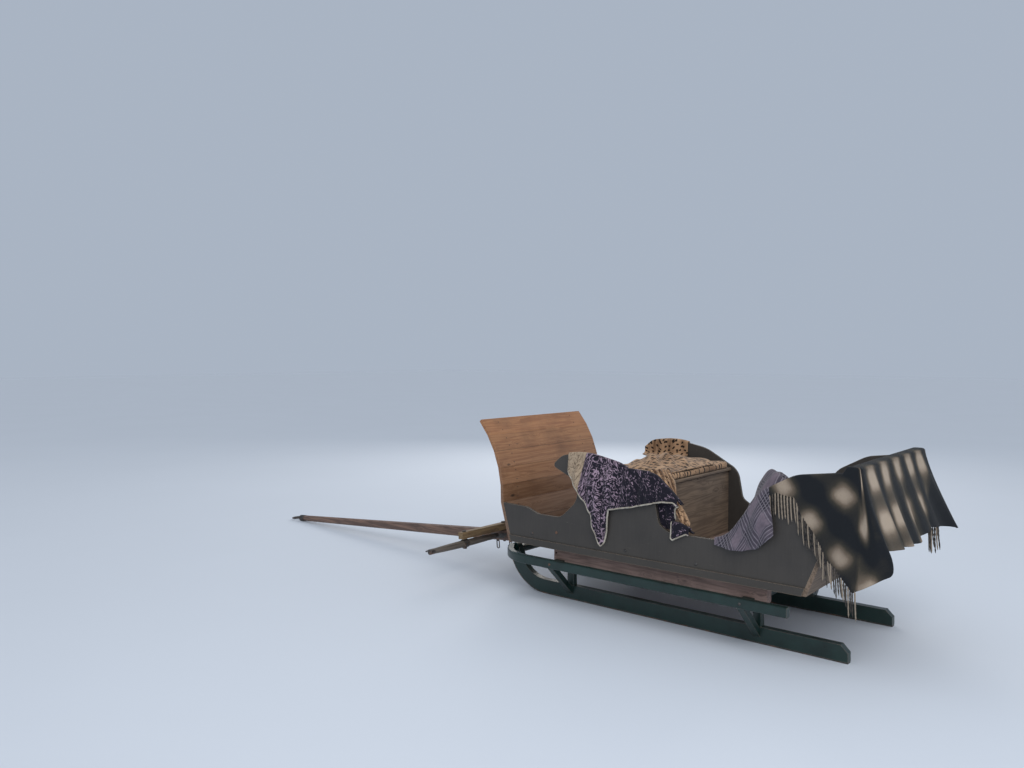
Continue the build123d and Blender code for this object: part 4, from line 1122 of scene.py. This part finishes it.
def robe_grid():
    """The lap robe: rows run forward over the rear cushion and down its front; on the left each row
    bends up over the side panel and hangs outside. The two courses are blended across the bench."""
    forward = np.linspace(0, 1, 84)[:, None]
    top_z = CUSHION_HIGH.z + 0.006
    lap, fall = 0.62, 0.56
    lap_share = np.minimum(forward / lap, 1.0)
    fall_share = np.maximum((forward - lap) / (1 - lap), 0.0)
    inner_x = station(0.075) + 0.275 * lap_share + 0.030 * ease(0.0, 0.35, fall_share)
    inner_z = top_z - (top_z - fall) * fall_share**1.15
    side_x = station(0.182) + (0.500 - 0.182) * forward
    side_top = rest_height(side_x) + CLEAR
    y = np.linspace(-0.555, PANEL_INNER - CLEAR, 96)[None]
    start = np.where(side_top > inner_z, 0.47, 0.36)
    to_side = ease(0, 1, (y - start) / (PANEL_INNER - CLEAR - start))
    bundle = folds(y, 0.7 * forward, [(0.15, 1.0, 0.35), (0.09, 0.5, -0.2), (0.27, 0.8, 0.4)], 11)
    mound = 0.17 * np.exp(-(((y - 0.31) / 0.16) ** 2) - ((forward - 0.40) / 0.26) ** 2)
    mound = mound + 0.08 * np.exp(-(((y + 0.10) / 0.22) ** 2) - ((forward - 0.42) / 0.22) ** 2)
    loose = (1 - to_side) * ease(0.0, 0.12, forward)
    x = inner_x + (side_x - inner_x) * to_side + 0.030 * bundle * loose * fall_share**0.5
    heap = 0.030 * bundle + mound * (0.7 + 0.5 * bundle)
    z = inner_z + (side_top - PANEL_CROWN - inner_z) * to_side + heap * loose * (1 - fall_share)
    inside = np.stack([x, np.broadcast_to(y, x.shape), z], axis=-1)
    inner = np.concatenate([side_x, np.full_like(side_x, PANEL_INNER - CLEAR)], axis=-1)
    outer = np.concatenate([side_x, np.full_like(side_x, BODY_HALF + CLEAR)], axis=-1)
    over = over_top(inner, outer, side_top[:, 0], PANEL_CROWN, 13)[1:-1].transpose(1, 0, 2)
    shoulder = side_top - PANEL_CROWN
    hem = np.minimum(through_keys(side_x, ROBE_HEM), shoulder - 0.018)
    down = np.linspace(0, 1, 34)[None] * (shoulder - hem)
    fold = folds(side_x, down, [(0.150, 1.0, 0.3), (0.075, 0.35, -0.2)], 5)
    out = 0.001 + (0.034 * fold + 0.008) * np.minimum(down / 0.10, 1.0)
    hanging = np.stack([
        side_x - 0.16 * down * (1 - forward), BODY_HALF + CLEAR + out, shoulder - down
    ], axis=-1)
    grid = np.concatenate([inside, over, hanging], axis=1)
    outward = np.zeros_like(grid)
    climb = inside.shape[1] - 6
    outward[:, :climb, 2] = 1.0
    outward[:, climb:, 1] = 1.0
    outward[:, :climb, 0] = 0.3
    across = np.linalg.norm(np.diff(grid, axis=1), axis=-1)
    across = np.concatenate([np.zeros((len(grid), 1)), np.cumsum(across, axis=1)], axis=1)
    lip = inside.shape[1] + over.shape[1] - 1
    across -= across[:, [lip]]
    ahead = np.linalg.norm(np.diff(grid, axis=0), axis=-1)
    ahead = np.concatenate([np.zeros((1, grid.shape[1])), np.cumsum(ahead, axis=0)])
    ahead[:, lip:] = ahead[:, [lip]]
    return grid, outward, np.stack([across, ahead], axis=-1)


def plush_grid():
    """The plush over the front bench and the right hump: a saddle, heaped up in pleats on the bench,
    where it is spread over the whole seat."""
    x = np.linspace(station(1.295), station(1.655), 100)
    bench_x = np.linspace(BENCH_LOW.x + 0.012, BENCH_HIGH.x - 0.016, 100)
    heap = station(1.20)

    def rumple(x, y):
        waves = [(0.150, 1.0, 0.5), (0.082, 0.22, -0.3), (0.30, 0.7, 0.2)]
        pleats = folds(y + 0.6 * (x - heap), x, waves, 31)
        mound = 0.030 + 0.085 * np.exp(-(((x - heap) / 0.13) ** 2) - ((y + 0.02) / 0.17) ** 2)
        ends = ease(0.0, 0.10, (x - BENCH_LOW.x)) * ease(BENCH_HIGH.x, BENCH_HIGH.x - 0.06, x)
        return mound * (0.35 + 0.65 * pleats) * ends

    return saddle_grid(
        -1, x, np.full_like(x, 0.24), np.full_like(x, BENCH_HIGH.z + 0.045),
        np.minimum(through_keys(x, PLUSH_HEM), rest_height(x) - 0.05), rumple,
        lambda a, d: folds(a, d, [(0.13, 1.0, 0.2), (0.08, 0.4, -0.2)], 17), 0.014, bench_x=bench_x,
    )


def fleece_grid():
    """The fleece over the left hump: a saddle that is held up to a ridge behind the hump and reaches
    in over the bench between its two ends."""
    x = np.linspace(station(0.742), station(1.528), 170)
    on_bench = ease(station(0.88), station(1.12), x) * ease(station(1.47), station(1.33), x)
    inner_line = 0.34 * on_bench + (PANEL_INNER - 0.05) * (1 - on_bench)
    return saddle_grid(
        1, x, inner_line, np.full_like(x, BENCH_HIGH.z + 0.052), through_keys(x, FLEECE_HEM),
        lambda x, y: 0.006 + 0 * y, lambda a, d: folds(a, d, [(0.13, 1.0, 0.10), (0.060, 0.45, -0.15)], 9),
        0.026, through_keys(x, FLEECE_RIDGE),
    )


def fleece_fall_grid():
    """The fleece's inner edge, which hangs behind the panel's dip, from under the ridge to the corner
    piece: rows run forward from a curve, and drop from the ridge to a foot of straight runs."""
    edge = curve_through([(0.753, 0.762), (0.772, 0.722), (0.779, 0.700), (0.773, 0.672)], 40)[:, :1]
    across, fall = np.linspace(0, 1, 30)[None], np.linspace(0, 1, 40)[:, None]
    x = station(edge) + (station(0.935) - station(edge)) * across
    top = through_keys(x, FLEECE_RIDGE) - 0.052
    foot = through_keys(x, [(0.778, 0.672), (0.795, 0.612), (0.935, 0.600)])
    z = top + (foot - top) * fall
    y = PANEL_INNER - 0.012 - 0.010 * folds(x, -z, [(0.06, 1.0, 0.2)], 19)
    grid = np.stack([x, y, z], axis=-1)
    return grid, np.broadcast_to([0.0, 1.0, 0.0], grid.shape), np.stack([x - x.min(), z], axis=-1)


def fleece_corner_grid():
    """The fleece's lowest corner, over the panel's dip: a short saddle."""
    x = np.linspace(station(0.664), station(0.778), 40)
    least = through_keys(x, [(0.664, 0.636), (0.730, 0.660), (0.778, 0.664)])
    return saddle_grid(
        1, x, np.full_like(x, PANEL_INNER - 0.05), least - 0.03,
        through_keys(x, [(0.664, 0.614), (0.768, 0.560), (0.778, 0.572)]), lambda x, y: 0 * y,
        lambda a, d: folds(a, d, [(0.07, 1.0, 0.2)], 13), 0.010, least,
    )


def fringe_roots(hem, spacing):
    """Roots of the throw's fringe, evenly spaced along two stretches of its hem: under the wing, and
    behind."""
    wing = (hem[:, 1] > BODY_HALF) & (hem[:, 0] > station(-0.30)) & (hem[:, 0] < station(0.245))
    roots = []
    for line in (hem[wing], hem[REAR_FRINGE]):
        length = run_lengths(line)
        at = np.arange(0.004, length[-1], spacing)
        roots.append(np.stack([np.interp(at, length, line[:, i]) for i in range(3)], axis=-1))
    return np.concatenate(roots)


def fallen_corner():
    """The plush's rear corner: a rope of folds that slides off the bench and sags to the left
    panel's dip; its width turns from across the sleigh to along it."""
    middle = curve_through([
        (1.040, 0.300, 0.915), (0.985, 0.350, 0.912), (0.920, 0.410, 0.865), (0.850, 0.470, 0.795),
        (0.785, 0.508, 0.735), (0.735, 0.532, 0.690), (0.708, 0.552, 0.658), (0.695, 0.570, 0.636),
    ], 80)
    middle[:, 0] += BODY_REAR
    spread = curve_through([
        (0.02, 0.100, 0.0), (0.03, 0.075, 0.0), (0.035, 0.050, 0.010), (0.036, 0.034, 0.018),
        (0.034, 0.024, 0.016), (0.030, 0.016, 0.010), (0.027, 0.010, 0.006), (0.020, 0.0, 0.0),
    ], 80)
    side = np.linspace(-1, 1, 44)[None, :, None]
    grid = middle[:, None] + spread[:, None] * side
    along = run_lengths(middle)
    width = np.linalg.norm(spread, axis=-1)
    turn = folds(side[..., 0] * 0.12, along[:, None], [(0.052, 1.0, 0.12), (0.033, 0.5, -0.2)], 21)
    loose = ease(0.02, 0.10, along)[:, None]
    grid[..., 2] += 0.028 * turn * loose
    grid[..., 0] += 0.018 * turn * loose
    uv = np.stack([
        np.broadcast_to(along[:, None], grid.shape[:2]), width[:, None] * side[..., 0]
    ], axis=-1)
    outward = np.zeros_like(grid)
    outward[..., 2] = 1.0
    outward[..., 1] = 0.5
    return grid, outward, uv


def rounded_box(low, high, exponent=0.14, rows=60, columns=120):
    """A superellipsoid that fills the box: powers of sines and cosines near 0 square it off."""
    def power(values):
        return np.sign(values) * np.abs(values) ** exponent

    rise = np.linspace(-np.pi / 2, np.pi / 2, rows + 2)[1:-1, None]
    turn = np.linspace(0, 2 * np.pi, columns, endpoint=False)[None]
    centre, half = (np.array(low) + np.array(high)) / 2, (np.array(high) - np.array(low)) / 2
    unit = np.stack([
        power(np.cos(rise)) * power(np.cos(turn)), power(np.cos(rise)) * power(np.sin(turn)),
        np.broadcast_to(power(np.sin(rise)), (rows, columns)),
    ], axis=-1)
    ring = centre + half * unit
    poles = np.array([centre - half * (0, 0, 1), centre + half * (0, 0, 1)])
    points = np.concatenate([ring.reshape(-1, 3), poles])
    index = np.arange(columns)
    following = (index + 1) % columns
    last = (rows - 1) * columns
    bottom = np.stack([np.full(columns, rows * columns), following, index], axis=-1)
    top = np.stack([np.full(columns, rows * columns + 1), last + index, last + following], axis=-1)
    return points, grid_faces(rows, columns, True), np.concatenate([bottom, top])


def shown_mesh(piece):
    """A new mesh: the piece's, with its modifiers applied."""
    return bpy.data.meshes.new_from_object(piece.evaluated_get(bpy.context.evaluated_depsgraph_get()))


def pad_piece(name, low, high, finish, cap, voxel=0.010):
    """A pad from a rounded box: remeshed, then swelled by a pressure cloth simulation that no point
    follows further than cap, and pressed flat where it lies on its board."""
    scene = bpy.context.scene
    points, quads, caps = rounded_box(low, high)
    mesh = bpy.data.meshes.new(name)
    mesh.from_pydata(points.tolist(), [], quads.tolist() + caps.tolist())
    mesh.materials.append(finish)
    piece = bpy.data.objects.new(name, mesh)
    scene.collection.objects.link(piece)
    remesh = piece.modifiers.new("Even quads", "REMESH")
    remesh.mode = "VOXEL"
    remesh.voxel_size = voxel
    even = shown_mesh(piece)
    piece.modifiers.clear()
    piece.data = even
    rest = mesh_points(even)
    cloth = piece.modifiers.new("Swell", "CLOTH")
    cloth.settings.use_pressure = True
    cloth.settings.uniform_pressure_force = 4.0
    cloth.settings.effector_weights.gravity = 0.0
    cloth.settings.quality = 5
    cloth.point_cache.frame_end = 20
    for step in range(1, 21):
        scene.frame_set(step)
    swelled = shown_mesh(piece)
    piece.modifiers.clear()
    scene.frame_set(1)
    move = mesh_points(swelled) - rest
    length = np.linalg.norm(move, axis=-1, keepdims=True)
    move *= np.minimum(1.0, cap / np.maximum(length, 1e-9))
    rest = rest + move
    dents = 0.004 * np.sin(rest[:, 0] * 31) * np.sin(rest[:, 1] * 17 + 1) * (rest[:, 2] > low[2] + 0.02)
    rest[:, 2] += dents
    rest[:, 2] = np.maximum(rest[:, 2], low[2])
    rest[:, 1] = np.clip(rest[:, 1], -PANEL_INNER + 0.002, PANEL_INNER - 0.002)
    even.vertices.foreach_set("co", rest.ravel())
    even.polygons.foreach_set("use_smooth", np.ones(len(even.polygons), dtype=bool))
    even.materials.clear()
    even.materials.append(finish)
    even.update()
    smooth = piece.modifiers.new("Smooth", "SUBSURF")
    smooth.levels = smooth.render_levels = 1
    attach(piece, "root")
    return piece


# Operators, one for each piece or group of like pieces


def give(finish, *nodes):
    """Put a finish on CAD nodes."""
    for name in nodes:
        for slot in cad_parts[name].material_slots:
            slot.material = finish


def both(*stems):
    """Names of the left and right nodes of each stem."""
    return [f"{stem}_{side}" for stem in stems for side in ("left", "right")]


class SLEIGH_OT_studio(bpy.types.Operator):
    """Make the camera, the pale floor and the soft studio lamps."""

    bl_idname = "sleigh.studio"
    bl_label = "Studio"

    def execute(self, context):
        studio = context.scene.sleigh_studio
        scene = context.scene
        scene.view_settings.view_transform = "Standard"
        camera = bpy.data.objects.new("camera", bpy.data.cameras.new("camera"))
        scene.collection.objects.link(camera)
        camera.data.lens = CAMERA_LENS
        camera.data.sensor_width = 36.0
        camera.data.clip_end = 500.0
        turn = Matrix.Rotation(math.radians(CAMERA_HEADING - 90.0), 4, "Z")
        tip = Matrix.Rotation(math.radians(90.0 - CAMERA_TILT), 4, "X")
        camera.matrix_world = Matrix.Translation(CAMERA_PLACE) @ turn @ tip
        scene.camera = camera

        reach = studio.floor_reach
        mesh = bpy.data.meshes.new("studio_floor")
        corners = [(-reach, -reach, 0), (reach, -reach, 0), (reach, reach, 0), (-reach, reach, 0)]
        mesh.from_pydata(corners, [], [(0, 1, 2, 3)])
        material, tree, shader = new_finish("studio_floor", 0.85)
        mottle = noise(tree, texture_space(tree), 0.6, 3.0, 0.5)
        tint = ramp(tree, mottle, [(0.3, shaded(studio.floor, 0.985)), (0.7, studio.floor)])
        tree.links.new(tint, shader.inputs["Base Color"])
        mesh.materials.append(material)
        floor = bpy.data.objects.new("studio_floor", mesh)
        scene.collection.objects.link(floor)

        for name, place, aim, size, power, tint in (
            ("key", (-6.2, 4.6, 6.0), (-0.6, 0.0, 0.4), 6.0, studio.key, (1.0, 0.975, 0.94)),
            ("rim", (3.5, -6.5, 4.5), (-0.5, 0.0, 0.5), 4.0, studio.rim, (1.0, 0.93, 0.84)),
        ):
            lamp = bpy.data.lights.new(name, "AREA")
            lamp.shape = "DISK"
            lamp.size = size
            lamp.energy = power
            lamp.color = tint
            light = bpy.data.objects.new(name, lamp)
            light.location = place
            light.rotation_euler = (Vector(aim) - Vector(place)).to_track_quat("-Z", "Y").to_euler()
            scene.collection.objects.link(light)

        world = bpy.data.worlds.new("studio_sky")
        world.use_nodes = True
        tree = world.node_tree
        rays = add_node(tree, "ShaderNodeLightPath").outputs
        seen = arithmetic(tree, "MAXIMUM", rays["Is Camera Ray"], rays["Is Glossy Ray"])
        seen = arithmetic(tree, "MAXIMUM", seen, rays["Is Transmission Ray"])
        plain = tree.nodes["Background"]
        sky = (0.92, 0.96, 1.0)
        plain.inputs["Color"].default_value = colour(sky)
        plain.inputs["Strength"].default_value = studio.sky
        far = colour([studio.sky * a * b for a, b in zip(sky, studio.floor)])
        pale = add_node(tree, "ShaderNodeBackground", Color=far, Strength=1.0)
        mixed = add_node(
            tree, "ShaderNodeMixShader", in0=seen, in1=plain.outputs[0], in2=pale.outputs[0]
        )
        tree.links.new(mixed.outputs[0], tree.nodes["World Output"].inputs["Surface"])
        scene.world = world
        return {"FINISHED"}


class SLEIGH_OT_running_gear(bpy.types.Operator):
    """Paint the runners, guard rails, posts, struts, bolsters and nose bar green."""

    bl_idname = "sleigh.running_gear"
    bl_label = "Running gear"

    def execute(self, context):
        green = running_green()
        give(green, *both("runner", "rail", "post_front", "post_rear", "strut_front", "strut_rear"))
        give(green, "bolster_front", "bolster_rear", "nose_bar")
        return {"FINISHED"}


class SLEIGH_OT_ironwork(bpy.types.Operator):
    """Give the shoes, pins, clips and draught irons their forged iron, and set the bolts and nails."""

    bl_idname = "sleigh.ironwork"
    bl_label = "Ironwork"

    def execute(self, context):
        iron = forged_iron()
        give(
            iron, *both("shoe", "singletree_irons"), "hinge_pin", "pole_clips", "pole_irons",
            "pole_tip", "evener_pin", "evener_irons", "spare_links",
        )
        panel, bents, dash = [], [], []
        for side, name in ((1.0, "left"), (-1.0, "right")):
            inward, outward = (0.0, -side, 0.0), (0.0, side, 0.0)
            for x, z in PANEL_BOLTS:
                panel.append((surface_point(f"side_panel_{name}", (station(x), side, z), inward), outward))
            for end in ("front", "rear"):
                low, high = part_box(f"post_{end}_{name}")
                x = (low.x + high.x) / 2
                for node in (f"rail_{name}", f"runner_{name}"):
                    y = side * (max(abs(corner.y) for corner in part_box(node)) - EDGE_INSET)
                    over = surface_point(node, (x, y, 1.5), (0.0, 0.0, -1.0))[2]
                    under = surface_point(node, (x, y, -0.5), (0.0, 0.0, 1.0))[2]
                    place = surface_point(node, (x, side, (over + under) / 2), inward)
                    bents.append((place, outward))
        cuts = np.array(DASH_CUTS)
        for z in np.concatenate([cuts[:-1] + NAIL_INSET, cuts[1:] - NAIL_INSET]):
            for y in (-NAIL_ROW, NAIL_ROW):
                dash.append((surface_point("dash", (BENCH_LOW.x, y, z), (1.0, 0.0, 0.0)), (-1.0, 0.0, 0.0)))
        for name, heads, radius, height in (
            ("panel_bolts", panel, 0.010, 0.005), ("bent_bolts", bents, 0.009, 0.005),
            ("dash_nails", dash, 0.0045, 0.0018),
        ):
            points, faces = domed_heads(*np.array(heads).transpose(1, 0, 2), radius, height)
            new_piece(name, points, (faces,), iron)
        return {"FINISHED"}


class SLEIGH_OT_body(bpy.types.Operator):
    """Paint the side panels and their sill strips olive."""

    bl_idname = "sleigh.body"
    bl_label = "Body paint"

    def execute(self, context):
        give(olive_paint(), *both("side_panel", "sill"))
        return {"FINISHED"}


class SLEIGH_OT_boards(bpy.types.Operator):
    """Finish the dash, benches, back, floor and bearers, board by board."""

    bl_idname = "sleigh.boards"
    bl_label = "Boards"

    def execute(self, context):
        woods = context.scene.sleigh_timbers
        # The dash's foot tint is painted shade: its lower boards are darkened as if they lie in shade.
        pine = timber(
            "dash_pine", woods.pine_light, woods.pine_dark, "Y", 0.45, 0.95, 1.5,
            boards=DASH_CUTS, seams=True, foot=(0.55, 0.70, 1.05), wear=0.6, coat=0.2,
        )
        give(pine, "dash", "dash_cleats")
        boards = timber("bench_board", woods.board_light, woods.board_dark, "Y", 0.68, 0.5)
        give(
            boards, "rear_board", "back_rail", "rear_seat", "rear_seat_riser", "driver_seat",
            "driver_riser_front", "driver_riser_rear",
        )
        low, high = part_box("floor_boards")
        floor = timber(
            "floor_plank", woods.plank_light, woods.plank_dark, "Y", 0.75, 0.6,
            boards=list(np.linspace(low.x, high.x, 15)), board_axis="X",
        )
        give(floor, "floor_boards")
        give(timber("bearer_plank", woods.plank_light, woods.plank_dark, "X", 0.75, 0.5), *both("bearer"))
        return {"FINISHED"}


class SLEIGH_OT_draught_wood(bpy.types.Operator):
    """Finish the pole, the evener and the singletrees."""

    bl_idname = "sleigh.draught_wood"
    bl_label = "Draught gear wood"

    def execute(self, context):
        woods = context.scene.sleigh_timbers
        give(timber("pole_ash", woods.pole_light, woods.pole_dark, "X", 0.55, 0.35), "pole")
        give(timber("evener_ash", (0.30, 0.205, 0.10), (0.14, 0.090, 0.048), "Y", 0.6, 0.2), "evener")
        grey_ash = timber("singletree_ash", (0.15, 0.125, 0.105), (0.055, 0.046, 0.040), "Y", 0.62, 0.2)
        give(grey_ash, *both("singletree"))
        return {"FINISHED"}


class SLEIGH_OT_pads(bpy.types.Operator):
    """Make the rear cushion and the folded plush on the front bench."""

    bl_idname = "sleigh.pads"
    bl_label = "Pads"

    def execute(self, context):
        low, high = np.array(CUSHION_LOW), np.array(CUSHION_HIGH)
        cushion = pad_piece(
            "rear_cushion_pad", low + (0.012, 0.006, 0.0), high - (0.006, 0.006, 0.008),
            bench_cloth(), 0.012,
        )
        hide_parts("rear_cushion")
        pad_low = (BENCH_LOW.x - 0.004, -PANEL_INNER + 0.008, BENCH_HIGH.z + 0.0005)
        pad_high = (BENCH_HIGH.x - 0.014, PANEL_INNER - 0.008, BENCH_HIGH.z + 0.040)
        pad_piece("driver_bench_pad", pad_low, pad_high, leopard_cloth("Object"), 0.008)
        return {"FINISHED"}


class SLEIGH_OT_leopard_plush(bpy.types.Operator):
    """Drape the spotted plush over the front bench and the right hump."""

    bl_idname = "sleigh.leopard_plush"
    bl_label = "Spotted plush"

    def execute(self, context):
        thickness = context.scene.sleigh_cloths.fleece_thickness
        plush = cloth_piece("leopard_plush_drape", plush_grid(), leopard_cloth(), thickness)
        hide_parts("leopard_plush")
        # The rope of folds is painted with darker stripes of fold shade.
        rolled = leopard_cloth(painted_fold_streaks=True)
        corner = cloth_piece("leopard_plush_corner", fallen_corner(), rolled, thickness)
        return {"FINISHED"}


class SLEIGH_OT_print_fleece(bpy.types.Operator):
    """Drape the printed fleece, with its pale piping, over the front bench and the left hump."""

    bl_idname = "sleigh.print_fleece"
    bl_label = "Printed fleece"

    def execute(self, context):
        cloths = context.scene.sleigh_cloths
        finish = print_fleece_cloth()
        yarn = twisted_yarn("pale_piping", (0.46, 0.43, 0.37), (0.27, 0.24, 0.20))
        proud, slanted = (0.0, 0.003, 0.0), (1.0, 1.0, 1.0)

        shape = fleece_grid()
        fleece = cloth_piece("print_fleece_drape", shape, finish, cloths.fleece_thickness)
        piping = tube_piece("print_fleece_piping", shape[0][-1] + proud, (0.0, 1.0, 0.0), 0.0055, yarn)
        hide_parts("print_fleece")

        shape = fleece_fall_grid()
        hanging = cloth_piece("print_fleece_fall", shape, finish, cloths.wool_thickness)
        fall_edge = tube_piece("print_fleece_fall_piping", shape[0][:, 0], slanted, 0.005, yarn)

        shape = fleece_corner_grid()
        corner = cloth_piece("print_fleece_corner", shape, finish, cloths.fleece_thickness)
        over_panel = 92            # row just past the panel's inner edge
        line = np.concatenate([shape[0][over_panel:, -1], shape[0][-1, -2::-1]]) + proud
        edge = tube_piece("print_fleece_corner_piping", line, slanted, 0.005, yarn)
        return {"FINISHED"}


class SLEIGH_OT_lap_robe(bpy.types.Operator):
    """Lay the checked lap robe over the rear cushion and the left panel's dip."""

    bl_idname = "sleigh.lap_robe"
    bl_label = "Lap robe"

    def execute(self, context):
        thickness = context.scene.sleigh_cloths.fleece_thickness
        robe = cloth_piece("lap_robe_drape", robe_grid(), grey_check_cloth(), thickness)
        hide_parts("lap_robe")
        return {"FINISHED"}


class SLEIGH_OT_plaid_throw(bpy.types.Operator):
    """Hang the plaid throw, with its twisted fringe, over the back rail and the left wing."""

    bl_idname = "sleigh.plaid_throw"
    bl_label = "Plaid throw"

    def execute(self, context):
        cloths = context.scene.sleigh_cloths
        shape = throw_grid(cloths)
        throw = cloth_piece("plaid_throw_drape", shape, plaid_wool(), cloths.wool_thickness)
        roots = fringe_roots(shape[0][-1], cloths.fringe_spacing) + (0, cloths.wool_thickness / 2, 0.006)
        random = np.random.default_rng(12)
        lean = np.stack([
            random.normal(-0.010, 0.004, len(roots)), np.abs(random.normal(0.003, 0.003, len(roots))),
            np.zeros(len(roots)),
        ], axis=-1)
        lengths = cloths.fringe_length * random.uniform(0.85, 1.15, len(roots))
        points, faces = strands(roots, lean, lengths, 0.0044)
        # Light strands: every third one, and all where the hem is high; then about one in seven is
        # turned round, light to dark or dark to light.
        light = np.where(np.arange(len(roots)) % 3 == 0, 0.85, 0.15) + (roots[:, 2] > 0.86) * 0.7
        light = np.where(random.random(len(roots)) < 0.15, 1.0 - light, light)
        yarn = np.repeat(np.clip(light, 0.0, 1.0), len(points) // len(roots))
        fringe = new_piece(
            "plaid_throw_fringe", points, (faces,),
            twisted_yarn("fringe_yarn", (0.29, 0.24, 0.19), (0.015, 0.016, 0.019), True),
            uv=np.stack([yarn, points[:, 2]], axis=-1),
        )
        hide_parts("plaid_throw")
        return {"FINISHED"}


class SLEIGH_PT_pieces(bpy.types.Panel):
    """Sleigh pieces, sizes and colours."""

    bl_idname = "SLEIGH_PT_pieces"
    bl_label = "Sleigh"
    bl_space_type = "VIEW_3D"
    bl_region_type = "UI"
    bl_category = "Sleigh"

    def draw(self, context):
        for group in (
            context.scene.sleigh_paints, context.scene.sleigh_timbers,
            context.scene.sleigh_cloths, context.scene.sleigh_studio,
        ):
            box = self.layout.box()
            for name in group.__annotations__:
                box.prop(group, name)
        for operator in OPERATORS:
            self.layout.operator(operator.bl_idname)


GROUPS = (SleighPaints, SleighTimbers, SleighCloths, SleighStudio)
OPERATORS = (
    SLEIGH_OT_studio, SLEIGH_OT_running_gear, SLEIGH_OT_ironwork, SLEIGH_OT_body, SLEIGH_OT_boards,
    SLEIGH_OT_draught_wood, SLEIGH_OT_pads, SLEIGH_OT_leopard_plush, SLEIGH_OT_print_fleece,
    SLEIGH_OT_lap_robe, SLEIGH_OT_plaid_throw,
)


def register():
    for group in (*GROUPS, *OPERATORS, SLEIGH_PT_pieces):
        bpy.utils.register_class(group)
    bpy.types.Scene.sleigh_paints = PointerProperty(type=SleighPaints)
    bpy.types.Scene.sleigh_timbers = PointerProperty(type=SleighTimbers)
    bpy.types.Scene.sleigh_cloths = PointerProperty(type=SleighCloths)
    bpy.types.Scene.sleigh_studio = PointerProperty(type=SleighStudio)


def unregister():
    for name in ("sleigh_paints", "sleigh_timbers", "sleigh_cloths", "sleigh_studio"):
        delattr(bpy.types.Scene, name)
    for group in reversed((*GROUPS, *OPERATORS, SLEIGH_PT_pieces)):
        bpy.utils.unregister_class(group)


def main():
    register()
    bpy.ops.sleigh.studio()
    bpy.ops.sleigh.running_gear()
    bpy.ops.sleigh.ironwork()
    bpy.ops.sleigh.body()
    bpy.ops.sleigh.boards()
    bpy.ops.sleigh.draught_wood()
    bpy.ops.sleigh.pads()
    bpy.ops.sleigh.leopard_plush()
    bpy.ops.sleigh.print_fleece()
    bpy.ops.sleigh.lap_robe()
    bpy.ops.sleigh.plaid_throw()


if __name__ == "__main__":
    main()
